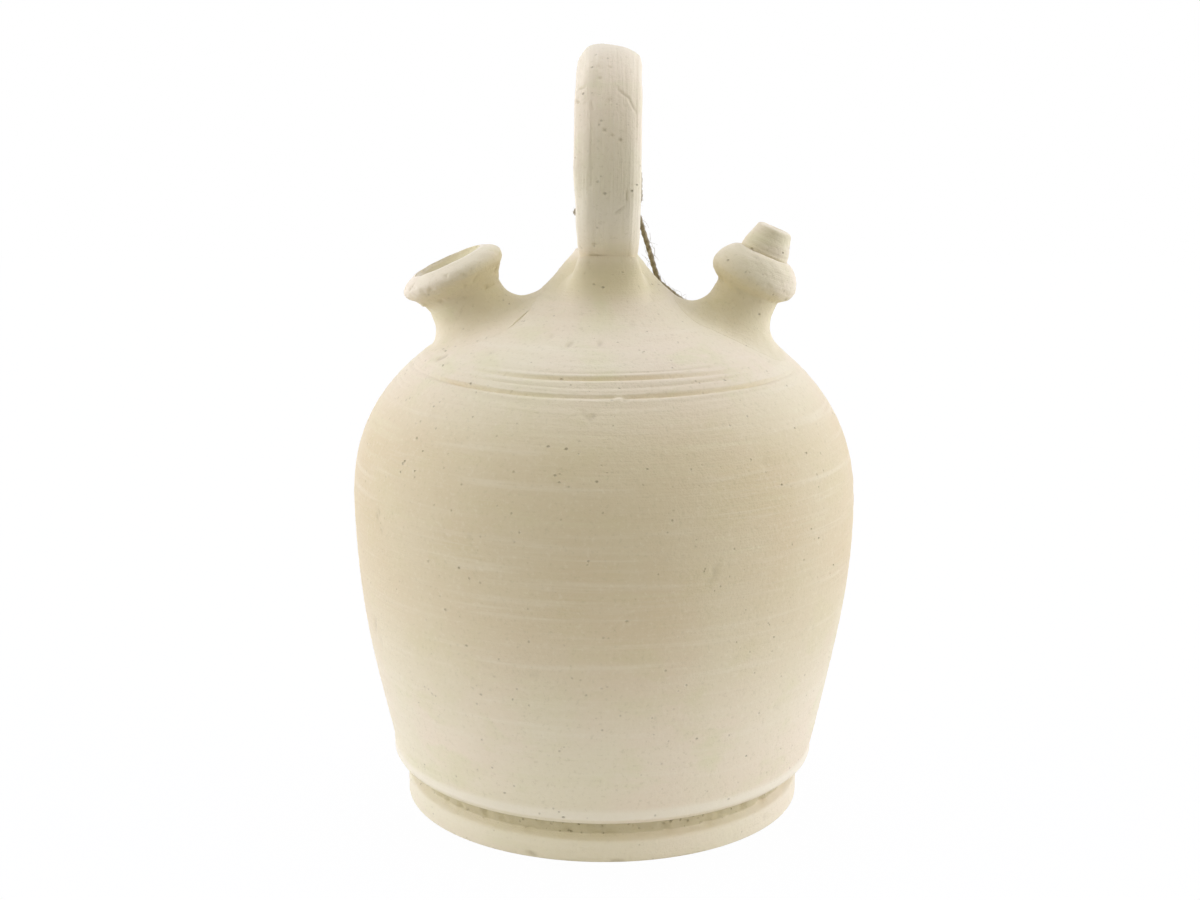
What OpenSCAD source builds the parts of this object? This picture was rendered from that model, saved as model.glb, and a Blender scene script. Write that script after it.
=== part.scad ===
// Spanish botijo: a round unglazed water jar with a ring handle, a filling mouth and a drinking spout.
// Millimetres. The origin is the centre of the foot's underside, +Z is up,
// +X points towards the drinking spout, and the handle's ring stands in the YZ plane.

/* [Pot] */
// Largest radius of the belly
belly_r = 100; // [95:0.5:110]
// Height of the belly's widest point
belly_z = 125; // [118:0.5:132]
// Radius at the shoulder line, where the dome was thrown on
shoulder_r = 75; // [73:0.5:78]
// Height of the shoulder line
shoulder_z = 179; // [175:0.5:183]
// Radius of the dome's closed tip
tip_r = 11.6; // [10.5:0.1:13]
// Height of the dome's closed tip above the shoulder line
dome_h = 43; // [40:0.5:46]
// Thickness of the clay wall
wall_t = 7; // [5:0.5:8]
// Thickness of the floor above the foot's hollow
floor_t = 10; // [8:0.5:12]

/* [Foot] */
// Radius of the turned foot
foot_r = 80; // [77:0.5:83]
// Height of the foot's plain band
foot_h = 9; // [7:0.5:10]
// Width of the ring that the pot stands on
foot_ring_w = 12; // [8:0.5:18]
// Depth of the hollow under the floor
foot_hollow_h = 8; // [5:0.5:9]
// Depth of the rough groove, measured in from the foot's band
groove_depth = 4; // [2:0.25:5]
// Height of the groove's upper edge
groove_top_z = 15; // [13:0.25:16]
// Radius of the pot's lower lip, above the groove
lip_r = 84.5; // [82:0.25:87]
// Height of the pot's lower lip
lip_z = 19.5; // [18:0.25:21]

/* [Filling mouth] */
// Distance of the rim's centre from the pot's axis
mouth_reach = 60.3; // [58:0.1:63]
// Height of the rim's centre above the shoulder line
mouth_rise = 35.7; // [33:0.1:39]
// Lean of the mouth away from upright, in degrees
mouth_lean = 24.5; // [21:0.5:28]
// Radius of the mouth's bore
mouth_bore_r = 10; // [8:0.25:11.5]
// Length of the mouth's bore below the rim's roll
mouth_bore_l = 18; // [14:0.5:20]
// Radius of the rolled rim's section
mouth_roll_r = 5.6; // [5:0.1:6.2]
// Radius of the neck below the rim
mouth_neck_r = 14.9; // [14:0.1:15.5]
// Radius of the hollow turn between the neck and the rim
mouth_turn_r = 9; // [7:0.25:10]

/* [Drinking spout] */
// Distance of the collar's centre from the pot's axis
spout_reach = 59.1; // [57:0.1:61]
// Height of the collar's centre above the shoulder line
spout_rise = 33.7; // [31:0.1:36]
// Lean of the spout away from upright, in degrees
spout_lean = 23; // [20:0.5:26]
// Radius of the spout's neck
spout_neck_r = 12.7; // [12:0.1:13.4]
// Radius of the water channel in the neck and collar
spout_bore_r = 7.5; // [6:0.25:8.5]
// Largest radius of the collar
collar_r = 17.4; // [16.8:0.1:18.5]
// Radius of the curve under the collar's edge
collar_under_r = 6; // [5.5:0.1:6.4]
// Radius of the curve above the collar's edge
collar_over_r = 8; // [7.2:0.1:8.4]

/* [Nib] */
// Radius of the nib where it sits on the collar
nib_base_r = 10; // [9:0.1:10.5]
// Radius of the nib's top
nib_top_r = 6.6; // [5.5:0.1:7.5]
// Height of the nib above the collar
nib_h = 12.5; // [9:0.25:14]
// Radius of the hole that the jet comes from
jet_r = 2.25; // [1.5:0.25:3]

/* [Handle] */
// Radius of the ring from its centre to the middle of the strap
ring_r = 35.5; // [33:0.25:38]
// Height of the ring's centre above the dome's tip
ring_rise = 35.2; // [33:0.1:37]
// Width of the strap
strap_w = 25.5; // [22:0.25:28]
// Thickness of the strap
strap_t = 17; // [14:0.25:18]
// Width of the flat that fingers left along the strap's outside
strap_flat_w = 13; // [9:0.25:15]
// Gap between the strap's two ends, over the dome's tip
strap_end_gap = 12; // [6:0.5:18]

/* [Luting coils] */
// Radius of the hollow curve of the coils round both necks
coil_curve_r = 12; // [9:0.25:13]
// Turn of that curve before it runs out straight, in degrees
coil_turn = 55; // [45:1:60]
// Thickness of clay that the coils leave at their upper edge
coil_edge_t = 0.2; // [0.1:0.05:0.6]
// Distance of the mouth's coil below the rim's centre
mouth_coil_drop = 14.5; // [13:0.25:16]
// Distance of the spout's coil below the collar's centre
spout_coil_drop = 12; // [11:0.25:13.5]
// Angle that a handle coil covers round the dome's tip, in degrees
handle_coil_span = 96; // [70:2:120]
// Thickness of a handle coil where it is fullest
handle_coil_t = 4; // [2.5:0.25:5]

/* [Twine and tag] */
// Diameter of the twine
twine_d = 2; // [1.6:0.1:2.2]
// Clearance between the twine and the strap
twine_gap = 0.4; // [0.3:0.05:0.8]
// Radius of the knot
knot_r = 2.6; // [2.2:0.1:2.8]
// Length of the knot's two frayed tails
tail_l = 6.5; // [4:0.5:8]
// Width of the tag
tag_w = 22; // [18:0.5:24]
// Length of the tag
tag_l = 40; // [34:0.5:44]
// Thickness of the tag's card
tag_t = 1; // [0.8:0.1:1.2]
// Cut of the tag's two upper corners
tag_cut = 7; // [4:0.5:8]
// Radius of the tag's hole
tag_hole_r = 2.6; // [2.3:0.1:3]
// Distance of the tag's hole from its upper edge
tag_hole_drop = 5; // [4.5:0.25:6]

/* [Hidden] */
$fn = 96;

clay = [0.83, 0.78, 0.66];
clay_shade = [0.78, 0.72, 0.58];
jute = [0.52, 0.45, 0.28];
card = [0.9, 0.9, 0.88];

// The dome, both necks and the handle's ring stand on the shoulder line
tip_z = shoulder_z + dome_h;
mouth_z = shoulder_z + mouth_rise;
spout_z = shoulder_z + spout_rise;
ring_z = tip_z + ring_rise;

// Steps of each run of the outline, the step where the dome's ceiling closes, and steps of arcs
outline_steps = 14;
ceiling_step = 13;
turn_steps = 6;
roll_steps = 16;

// Cubic Bezier curve: the point, and the curve as a list of points
function bezier(p, t) = pow(1 - t, 3) * p[0] + 3 * t * pow(1 - t, 2) * p[1]
    + 3 * t * t * (1 - t) * p[2] + pow(t, 3) * p[3];
function bezier_slope(p, t) = 3 * pow(1 - t, 2) * (p[1] - p[0])
    + 6 * t * (1 - t) * (p[2] - p[1]) + 3 * t * t * (p[3] - p[2]);
function curve(p, steps) = [for (i = [0 : steps]) bezier(p, i / steps)];

// The same curve moved inwards by a wall, square to itself
function inward(slope) = [-slope[1], slope[0]] / norm(slope);
function inner_curve(p, steps, wall) =
    [for (i = [0 : steps]) bezier(p, i / steps) + wall * inward(bezier_slope(p, i / steps))];

// Points of an arc round a centre, from one angle to another
function arc(centre, r, a0, a1, steps) =
    [for (i = [0 : steps]) centre + r * [cos(a0 + (a1 - a0) * i / steps), sin(a0 + (a1 - a0) * i / steps)]];

// The pot's outline from its lower lip to the dome's tip, in three smooth runs
belly_low = [[lip_r, lip_z], [lip_r + 7, lip_z + 30.5], [belly_r, belly_z - 35], [belly_r, belly_z]];
belly_high = [[belly_r, belly_z], [belly_r, belly_z + 25],
    [shoulder_r + 14.5, shoulder_z - 12.3], [shoulder_r, shoulder_z]];
bell = [[shoulder_r, shoulder_z], [shoulder_r - 22.8, shoulder_z + 19.5],
    [tip_r + 21.4, tip_z - 33], [tip_r, tip_z]];
pot_outer = concat(curve(belly_low, outline_steps), curve(belly_high, outline_steps));
bell_outer = curve(bell, outline_steps);

// The inside follows at the wall's thickness, and the tip is closed solid
pot_inner = concat(inner_curve(belly_low, outline_steps, wall_t),
    inner_curve(belly_high, outline_steps, wall_t));
bell_inner = [for (i = [0 : ceiling_step])
    bezier(bell, i / outline_steps) + wall_t * inward(bezier_slope(bell, i / outline_steps))];
inner_by_height = [for (p = concat(pot_inner, bell_inner)) [p[1], p[0]]];
joint_inner_r = lookup(shoulder_z, inner_by_height);
ceiling_r = bell_inner[ceiling_step][0];
ceiling_z = bell_inner[ceiling_step][1];
ceiling_rise = 1.5;

// The floor, with the corner that turns up into the wall
floor_corner_w = 10;
floor_corner_h = 7;
floor_z = foot_hollow_h + floor_t;
floor_r = lip_r - wall_t - floor_corner_w;
wall_inner = [for (p = pot_inner) if (p[1] > floor_z + floor_corner_h && p[1] < shoulder_z) p];

// The turned foot, its bevels, and the lip's small round over the groove
foot_inner_r = foot_r - foot_ring_w;
groove_r = foot_r - groove_depth;
foot_bevel = 0.9;
hollow_bevel = 2;
groove_bevel = 1;
groove_lean = 0.6;
lip_round_w = 1.4;
lip_round_h = 1.1;

// Height of the dome's surface over a given distance from the axis
bell_by_reach = [for (i = [outline_steps : -1 : 0]) [bell_outer[i][0], bell_outer[i][1]]];
function dome_z(r) = lookup(r, bell_by_reach);

// Places of both necks' frames: the local Z axis runs up the neck
module at_mouth() {
    translate([-mouth_reach, 0, mouth_z]) rotate([0, -mouth_lean, 0]) children();
}

module at_spout() {
    translate([spout_reach, 0, spout_z]) rotate([0, spout_lean, 0]) children();
}

// Depth to which each neck is drawn below its frame, before the dome's solid cuts it
neck_foot = 38;

// How much wider the holes in the dome are than the bores that they feed, and how much deeper they start
hole_ease = 0.8;
hole_drop = 9;

// Turn of each neck about itself, so that its seam lies off the pot's middle plane
seam_turn = 40;

// Solid of the whole dome, which cuts every piece that is luted onto it
module dome_mass() {
    rotate_extrude() polygon(concat([[0, belly_z]], [for (p = curve(belly_high, outline_steps)) p],
        [for (i = [1 : outline_steps]) bell_outer[i]], [[0, tip_z]]));
}

module vessel_body() {
    color(clay) rotate_extrude() polygon(concat(
        [[0, foot_hollow_h], [foot_inner_r - hollow_bevel, foot_hollow_h],
        [foot_inner_r, foot_hollow_h - hollow_bevel], [foot_inner_r, 0],
        [foot_r - foot_bevel, 0], [foot_r, foot_bevel],
        [foot_r, foot_h - foot_bevel], [foot_r - foot_bevel, foot_h],
        [groove_r, foot_h + groove_bevel], [groove_r + groove_lean, groove_top_z],
        [lip_r - lip_round_w, lip_z - lip_round_h], [lip_r - lip_round_w / 7, lip_z - lip_round_h / 2]],
        [for (p = pot_outer) if (p[1] < shoulder_z) p],
        [[shoulder_r, shoulder_z], [joint_inner_r, shoulder_z]],
        [for (i = [len(wall_inner) - 1 : -1 : 0]) wall_inner[i]],
        [[floor_r + 0.6 * floor_corner_w, floor_z + 0.3 * floor_corner_h],
        [floor_r, floor_z], [0, floor_z]]));
}

// Hole through the dome under a neck
module dome_hole(bore_r) {
    translate([0, 0, -neck_foot - hole_drop]) cylinder(r = bore_r + hole_ease, h = neck_foot);
}

module shoulder_dome() {
    color(clay) difference() {
        rotate_extrude() polygon(concat(
            [[joint_inner_r, shoulder_z]], bell_outer,
            [[0, tip_z], [0, ceiling_z + ceiling_rise], [ceiling_r / 2, ceiling_z + ceiling_rise * 2 / 3]],
            [for (i = [ceiling_step : -1 : 0]) if (bell_inner[i][1] > shoulder_z) bell_inner[i]]));
        at_mouth() dome_hole(mouth_bore_r);
        at_spout() dome_hole(spout_bore_r);
    }
}

// The rim's roll, the neck, and the hollow turn that joins them without a corner
roll_drop = 2.4;
roll_start = 10;
roll_c = [mouth_bore_r + mouth_roll_r, -roll_drop];
turn_dx = mouth_neck_r + mouth_turn_r - roll_c[0];
turn_dz = sqrt(pow(mouth_roll_r + mouth_turn_r, 2) - pow(turn_dx, 2));
turn_c = [mouth_neck_r + mouth_turn_r, roll_c[1] - turn_dz];
turn_angle = atan2(turn_dz, turn_dx);

module filling_mouth() {
    color(clay) difference() {
        at_mouth() rotate([0, 0, seam_turn]) rotate_extrude() polygon(concat(
            [[mouth_bore_r + hole_ease, -neck_foot], [mouth_neck_r, -neck_foot]],
            arc(turn_c, mouth_turn_r, 180, 180 - turn_angle, turn_steps),
            arc(roll_c, mouth_roll_r, roll_start - turn_angle, 180, roll_steps),
            [[mouth_bore_r, roll_c[1] - mouth_bore_l],
            [mouth_bore_r + hole_ease, roll_c[1] - mouth_bore_l - hole_ease]]));
        dome_mass();
    }
}

// Seat of the nib, measured up the spout from the collar's centre
collar_flat = 0.9;
spout_seat_z = collar_over_r - collar_flat;

// The collar's widest line, the short bevel under the collar, and the throat that narrows to the jet
collar_drop = 0.5;
collar_root_w = 0.6;
collar_root_h = 2.3;
throat_r = jet_r + 1.5;
throat_l = 2;
throat_taper = 4;

module drinking_spout() {
    under_c = [collar_r - collar_under_r, -collar_drop];
    over_c = [collar_r - collar_over_r, -collar_drop];
    under_stop = -acos((spout_neck_r + collar_root_w - under_c[0]) / collar_under_r);
    over_stop = asin((spout_seat_z + collar_drop) / collar_over_r);
    neck_top = under_c[1] + collar_under_r * sin(under_stop) - collar_root_h;
    color(clay) difference() {
        at_spout() rotate_extrude() polygon(concat(
            [[spout_bore_r, -neck_foot], [spout_neck_r, -neck_foot], [spout_neck_r, neck_top]],
            arc(under_c, collar_under_r, under_stop, 0, turn_steps),
            arc(over_c, collar_over_r, over_stop / 8, over_stop, turn_steps + 1),
            [[throat_r, spout_seat_z], [throat_r, spout_seat_z - throat_l],
            [spout_bore_r, spout_seat_z - throat_l - throat_taper]]));
        dome_mass();
    }
}

// Size of the small rounds at the nib's two edges
nib_round = 1;

module spout_nib() {
    color(clay) at_spout() translate([0, 0, spout_seat_z]) rotate_extrude() polygon([
        [jet_r, 0], [nib_base_r, 0], [nib_base_r - 0.3 * nib_round, nib_round],
        [nib_top_r + 0.4 * nib_round, nib_h - nib_round],
        [nib_top_r - 0.6 * nib_round, nib_h - 0.2 * nib_round],
        [nib_top_r - 2 * nib_round, nib_h], [jet_r, nib_h]]);
}

// Length of the straight run below a neck coil's curve, which the dome's solid cuts short
coil_run_out = 8;

// A coil of clay smoothed into a hollow curve round a neck
module neck_coil(neck_r, drop) {
    curve_c = [neck_r + coil_edge_t + coil_curve_r, -drop];
    curve_end = curve_c - coil_curve_r * [cos(coil_turn), sin(coil_turn)];
    skirt_end = curve_end + coil_run_out * [sin(coil_turn), -cos(coil_turn)];
    rotate_extrude() polygon(concat(
        [[neck_r, -neck_foot], [neck_r, -drop]],
        arc(curve_c, coil_curve_r, 180, 180 + coil_turn, turn_steps + 1),
        [skirt_end, [skirt_end[0], -neck_foot]]));
}

module mouth_root_coil() {
    color(clay_shade) difference() {
        at_mouth() neck_coil(mouth_neck_r, mouth_coil_drop);
        dome_mass();
    }
}

module spout_root_coil() {
    color(clay_shade) difference() {
        at_spout() neck_coil(spout_neck_r, spout_coil_drop);
        dome_mass();
    }
}

// Section of the strap, with the flat of its outside at +X: bevels outside, a round inside
bevel_t = 3;
bevel_w = 1.3;
side_top = 1.5;
side_low = -2.5;
inside_round = 7;
strap_half = [
    [strap_t / 2, strap_flat_w / 2], [strap_t / 2 - bevel_t, strap_w / 2 - bevel_w],
    [side_top, strap_w / 2], [side_low, strap_w / 2],
    [inside_round / 7 - strap_t / 2, (strap_w - inside_round) / 2],
    [-strap_t / 2, strap_w / 2 - inside_round]];
strap_section = concat(strap_half,
    [for (i = [len(strap_half) - 1 : -1 : 0]) [strap_half[i][0], -strap_half[i][1]]]);

// The ring turned about the X axis, from the first angle over the top to the second
module ring() {
    end_angle = asin(strap_end_gap / 2 / ring_r);
    translate([0, 0, ring_z]) rotate([90, 0, 90]) rotate([0, 0, -90 + end_angle])
        rotate_extrude(angle = 360 - 2 * end_angle) translate([ring_r, 0]) polygon(strap_section);
}

module handle() {
    color(clay) difference() {
        ring();
        dome_mass();
    }
}

// Reach of a handle coil's upper and lower edge beyond the dome's tip, and its depth below the dome's face
handle_coil_high = 3;
handle_coil_low = 13;
handle_coil_sink = 2;

// Wad of clay in the corner between the handle's end and the dome, on the side of a given angle
module handle_coil(side) {
    high_r = tip_r + handle_coil_high;
    low_r = tip_r + handle_coil_low;
    mid_r = (low_r + high_r) / 2;
    inner_r = high_r - handle_coil_sink;
    color(clay_shade) difference() {
        rotate([0, 0, side - handle_coil_span / 2]) rotate_extrude(angle = handle_coil_span) polygon([
            [inner_r, dome_z(high_r) - handle_coil_sink],
            [low_r - handle_coil_sink, dome_z(low_r) - handle_coil_sink],
            [low_r, dome_z(low_r) + coil_edge_t / 4],
            [mid_r + 0.4 * handle_coil_t, dome_z(mid_r) + 0.75 * handle_coil_t],
            [high_r + 0.6 * handle_coil_t, dome_z(high_r) + handle_coil_t],
            [inner_r, dome_z(high_r) + handle_coil_t]]);
        dome_mass();
        ring();
    }
}

module handle_front_coil() {
    handle_coil(-90);
}

module handle_back_coil() {
    handle_coil(90);
}

// A point beside the strap: across it, out from the ring's centre line, and by the angle from the ring's top
function by_strap(across, out, angle) =
    [across, (ring_r + out) * sin(angle), ring_z + (ring_r + out) * cos(angle)];

// Distance of the twine's middle from the strap's middle, at its sides and at its faces
side_x = strap_w / 2 + twine_d / 2 + twine_gap;
face_out = strap_t / 2 + twine_d / 2 + twine_gap;

// Route of the twine round the handle's far leg, from the knot and back to it
loop_route = [
    [12.4, 18.1, 238.8], by_strap(side_x - 1.2, -7.6, 133), by_strap(side_x, -4, 124),
    by_strap(side_x, 0, 113), by_strap(side_x, 2.5, 104), by_strap(side_x - 1.2, 6.2, 97),
    by_strap(10, face_out - 0.6, 95),
    by_strap(5, face_out, 98), by_strap(0, face_out, 104), by_strap(-5, face_out, 111),
    by_strap(-10, face_out - 0.6, 119), by_strap(1.2 - side_x, 6.2, 126), by_strap(-side_x, 1.5, 130),
    by_strap(-side_x, -2.5, 133), by_strap(2 - side_x, -7.2, 136), by_strap(-9, 0.4 - face_out, 138),
    by_strap(-5, -face_out, 139), by_strap(0, -face_out, 139), by_strap(4.5, -0.2 - face_out, 139),
    [8.8, 15.9, 239]];

// Place of the knot, and the lean and turn of each of its tails, in degrees
knot_at = [11.6, 15.5, 239.5];
tail_leans = [[117, 257], [93, 279]];

// Route of the strand, down from the knot and then over the dome to the tag behind it
strand_route = [[12.5, 15.9, 236.8], [13.7, 15.6, 233], [15.2, 15, 228.2], [16.8, 14.2, 223.2],
    [18.3, 13.2, 218.4], [19.8, 12.3, 213.4], [21.8, 11.5, 208], [24.2, 12.1, 205.8], [26.8, 13.8, 203.4],
    [29.3, 16.3, 201.2], [31.3, 19.6, 199.4], [32.5, 23.4, 197.9], [32.6, 27.4, 196.9], [31.8, 31, 196.4],
    [30.2, 34.2, 196.8], [28, 36.5, 198], [25.4, 37.4, 199.6], [22.7, 37, 201.2]];

function unit(v) = v / norm(v);
function route_direction(p, i) = unit(p[min(i + 1, len(p) - 1)] - p[max(i - 1, 0)]);

// Cross directions of each ring of a tube, square to the route and never far from a side direction
function across_route(d) = unit(cross(d, abs(d[0]) < 0.9 ? [1, 0, 0] : [0, 1, 0]));

module tube(route, r, sides) {
    rings = [for (i = [0 : len(route) - 1])
        let (d = route_direction(route, i), u = carried(route, i), v = cross(d, u))
        [for (k = [0 : sides - 1]) route[i] + r * (u * cos(360 * k / sides) + v * sin(360 * k / sides))]];
    n = len(route);
    points = [for (ring_points = rings) each ring_points];
    walls = [for (i = [0 : n - 2]) for (k = [0 : sides - 1]) let (j = (k + 1) % sides)
        each [[i * sides + k, (i + 1) * sides + k, (i + 1) * sides + j],
            [i * sides + k, (i + 1) * sides + j, i * sides + j]]];
    ends = [[for (k = [0 : sides - 1]) k], [for (k = [sides - 1 : -1 : 0]) (n - 1) * sides + k]];
    polyhedron(points = points, faces = concat(walls, ends));
}

// The first ring's side direction carried along the route without twist
function carried(p, i) = i == 0 ? across_route(route_direction(p, 0))
    : let (before = carried(p, i - 1), d = route_direction(p, i)) unit(before - (before * d) * d);

// Radius of the twine where it is pulled thin, at its tails and in the tag's hole
pressed_r = twine_d / 2 - 0.1;

module twine_loop() {
    color(jute) tube(loop_route, twine_d / 2, 8);
}

module twine_knot() {
    color(jute) translate(knot_at) {
        sphere(r = knot_r, $fn = 32);
        for (lean = tail_leans)
            rotate([0, lean[0], lean[1]]) cylinder(r = pressed_r, h = knot_r + tail_l, $fn = 24);
    }
}

module twine_strand() {
    color(jute) tube(strand_route, twine_d / 2, 8);
}

// The tag leans on the back of the dome, where the twine let it fall: the place of its hole,
// its turn and its slope
tag_at = [23.5, 42.4, 197.7];
tag_turn = 64;
tag_slope = 32;

module at_tag() {
    translate(tag_at) rotate([0, 0, tag_turn]) rotate([0, tag_slope, 0]) children();
}

module hang_tag() {
    color(card) at_tag() translate([0, 0, -tag_t / 2]) linear_extrude(tag_t) difference() {
        translate([-tag_hole_drop, -tag_w / 2]) polygon([
            [tag_cut, 0], [tag_l, 0], [tag_l, tag_w], [tag_cut, tag_w], [0, tag_w - tag_cut], [0, tag_cut]]);
        circle(r = tag_hole_r);
    }
}

// Radius of the knot at the tag, how far it bites on the turn, and the turn's play in the hole
tag_knot_r = 1.9;
tag_knot_bite = 0.4;
turn_play = 0.2;

// The twine's turn through the hole and round the tag's edge, with the knot that closes it
module tag_knot() {
    turn_r = tag_hole_drop / 2;
    turn_x = turn_play - (tag_hole_r + tag_hole_drop) / 2;
    color(jute) at_tag() {
        translate([turn_x, 0, 0]) rotate([90, 0, 0])
            rotate_extrude($fn = 48) translate([turn_r, 0]) circle(r = pressed_r, $fn = 24);
        translate([turn_x - turn_r - tag_knot_r + tag_knot_bite, 0, 0]) sphere(r = tag_knot_r, $fn = 32);
    }
}

vessel_body();
shoulder_dome();
filling_mouth();
mouth_root_coil();
drinking_spout();
spout_nib();
spout_root_coil();
handle();
handle_front_coil();
handle_back_coil();
twine_loop();
twine_knot();
twine_strand();
tag_knot();
hang_tag();
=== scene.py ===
"""Looks of a spanish botijo: a round unglazed water jar with a ring handle and two spouts.

Metres, +Z up. The jar stands on the origin, +X points towards the drinking spout, and the photograph
looks along +Y. Angles round the jar are measured from its front, positive towards the drinking spout.
"""
import logging
import math
from dataclasses import dataclass, field
from enum import Enum

import bpy
import numpy as np
from mathutils import Matrix


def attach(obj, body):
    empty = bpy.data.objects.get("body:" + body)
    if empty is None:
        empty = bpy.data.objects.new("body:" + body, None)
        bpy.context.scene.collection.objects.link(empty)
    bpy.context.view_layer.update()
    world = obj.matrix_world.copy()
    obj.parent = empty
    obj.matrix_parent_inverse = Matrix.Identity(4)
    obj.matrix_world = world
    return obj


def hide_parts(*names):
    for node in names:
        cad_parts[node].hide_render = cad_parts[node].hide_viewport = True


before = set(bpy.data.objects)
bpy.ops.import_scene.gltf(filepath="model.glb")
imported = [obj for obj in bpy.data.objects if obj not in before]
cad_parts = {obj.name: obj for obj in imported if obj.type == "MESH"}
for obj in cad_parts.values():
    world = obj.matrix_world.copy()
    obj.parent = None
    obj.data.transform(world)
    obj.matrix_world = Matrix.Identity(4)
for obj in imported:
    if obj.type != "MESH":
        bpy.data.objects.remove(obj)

Array = np.ndarray
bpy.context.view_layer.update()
LOG = logging.getLogger("botijo")
MM = 0.001
ROUND = 2 * math.pi
SLOPE_STEP = 0.002  # How far ahead a second point lies that gives the pot's slope

# An edge that turns by more than this is shaded crisp, on a piece as made and on a drilled one
CRISP_DEG = 55.0
CRISP_CUT_DEG = 50.0


class Slot(Enum):
    """The record's material slots."""

    CLAY = "clay"
    JUTE = "jute"
    CARD = "card"


# Curves and grids

def unit(vectors: Array) -> Array:
    """Vectors along the last axis, each divided by its length."""
    return vectors / np.linalg.norm(vectors, axis=-1, keepdims=True)


def smooth(values: Array, low: float, high: float) -> Array:
    """Smooth step: 0 up to low, 1 from high on, and three t squared less two t cubed between them.

    Args:
        values: Where the step is wanted.
        low: Value at which the step starts.
        high: Value at which it ends. It may be lower than low, and the step then falls.

    Returns:
        The step's height, from 0 to 1.
    """
    t = np.clip((values - low) / (high - low), 0, 1)
    return t * t * (3 - 2 * t)


def polar(radius: Array, angle: Array, z: Array) -> Array:
    """Points by distance from the jar's axis, angle from its front and height: r sin a, -r cos a, z."""
    return np.stack(np.broadcast_arrays(radius * np.sin(angle), -radius * np.cos(angle), z), axis=-1)


def bezier(points: Array, t: Array) -> Array:
    """Cubic Bezier curve: each of the four points weighed by its Bernstein cubic in t.

    Args:
        points: Four points, along the last axis but one.
        t: Parameters from 0 to 1.

    Returns:
        One point for each parameter.
    """
    p = np.asarray(points, float)
    s = np.asarray(t, float)[:, None]
    return (1 - s) ** 3 * p[0] + 3 * s * (1 - s) ** 2 * p[1] + 3 * s * s * (1 - s) * p[2] + s ** 3 * p[3]


def hermite(start: Array, leave: Array, end: Array, arrive: Array, t: Array) -> Array:
    """Cubic Hermite curves: both ends and the slopes at both ends, each weighed by its cubic in t."""
    return ((2 * t ** 3 - 3 * t ** 2 + 1) * start + (t ** 3 - 2 * t ** 2 + t) * leave
            + (3 * t ** 2 - 2 * t ** 3) * end + (t ** 3 - t ** 2) * arrive)


def through(points: Array, spacing: float) -> Array:
    """Smooth curve through points: a Catmull-Rom cubic between neighbours, resampled at even lengths.

    Args:
        points: The points to pass, in order.
        spacing: Greatest length between two points of the result.

    Returns:
        Points along the curve, the first and the last as given.
    """
    p = np.asarray(points, float)
    q = np.concatenate([[2 * p[0] - p[1]], p, [2 * p[-1] - p[-2]]])
    t = np.linspace(0, 1, 33)[:-1, None]
    runs = [
        0.5 * (2 * b + (c - a) * t + (2 * a - 5 * b + 4 * c - d) * t ** 2
               + (3 * b - a - 3 * c + d) * t ** 3)
        for a, b, c, d in zip(q[:-3], q[1:-2], q[2:-1], q[3:])
    ]
    return resampled(np.concatenate([*runs, p[-1:]]), spacing)


def lengths(points: Array) -> Array:
    """Length along a line of points from its first point to each."""
    return np.concatenate([[0.0], np.cumsum(np.linalg.norm(np.diff(points, axis=0), axis=1))])


def resampled(points: Array, spacing: float) -> Array:
    """The same line with its points at even lengths.

    Args:
        points: Points of the line.
        spacing: Greatest length between two points of the result.

    Returns:
        Points at even lengths, with both ends kept.
    """
    along = lengths(points)
    even = np.linspace(0, along[-1], max(2, math.ceil(along[-1] / spacing) + 1))
    return np.stack([np.interp(even, along, column) for column in points.T], axis=1)


def spread(points: Array, count: int) -> Array:
    """A given number of points at even lengths on the smooth curve through points."""
    line = through(points, 0.0002)
    along = lengths(line)
    even = np.linspace(0, along[-1], count)
    return np.stack([np.interp(even, along, column) for column in line.T], axis=1)


def cornered(corners: list[tuple[float, float, float]], spacing: float) -> Array:
    """Outline of straight runs whose corners are rounded.

    Each corner is replaced by a quadratic Bezier that starts and ends at the corner's own
    distance from it along both runs.

    Args:
        corners: Each corner as two coordinates and the distance at which its rounding starts.
        spacing: Greatest length between points on the straight runs.

    Returns:
        Points of the outline, from the first corner to the last.
    """
    places = np.array([c[:2] for c in corners], float)
    parts: list[Array] = [places[:1]]
    for i in range(1, len(corners) - 1):
        back, ahead = unit(places[i - 1] - places[i]), unit(places[i + 1] - places[i])
        start, end = places[i] + corners[i][2] * back, places[i] + corners[i][2] * ahead
        t = np.linspace(0, 1, 5)[:, None]
        parts.append(resampled(np.stack([parts[-1][-1], start]), spacing)[1:-1])
        parts.append((1 - t) ** 2 * start + 2 * t * (1 - t) * places[i] + t * t * end)
    parts.append(resampled(np.stack([parts[-1][-1], places[-1]]), spacing)[1:])
    return np.concatenate(parts)


def outward(grid: Array) -> Array:
    """Normals of a grid that closes both ways: the cross product of its two central differences.

    Args:
        grid: Points, rows by columns, whose rows and columns both close into rings.

    Returns:
        One unit vector for each point, in the sense that mostly points away from the grid's middle.
    """
    around = np.roll(grid, -1, axis=1) - np.roll(grid, 1, axis=1)
    along = np.roll(grid, -1, axis=0) - np.roll(grid, 1, axis=0)
    cross = np.cross(around, along)
    normals = cross / np.maximum(np.linalg.norm(cross, axis=-1, keepdims=True), 1e-12)
    return normals * np.sign(np.einsum("ijk,ijk->", normals, grid - grid.mean(axis=(0, 1))))


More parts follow.
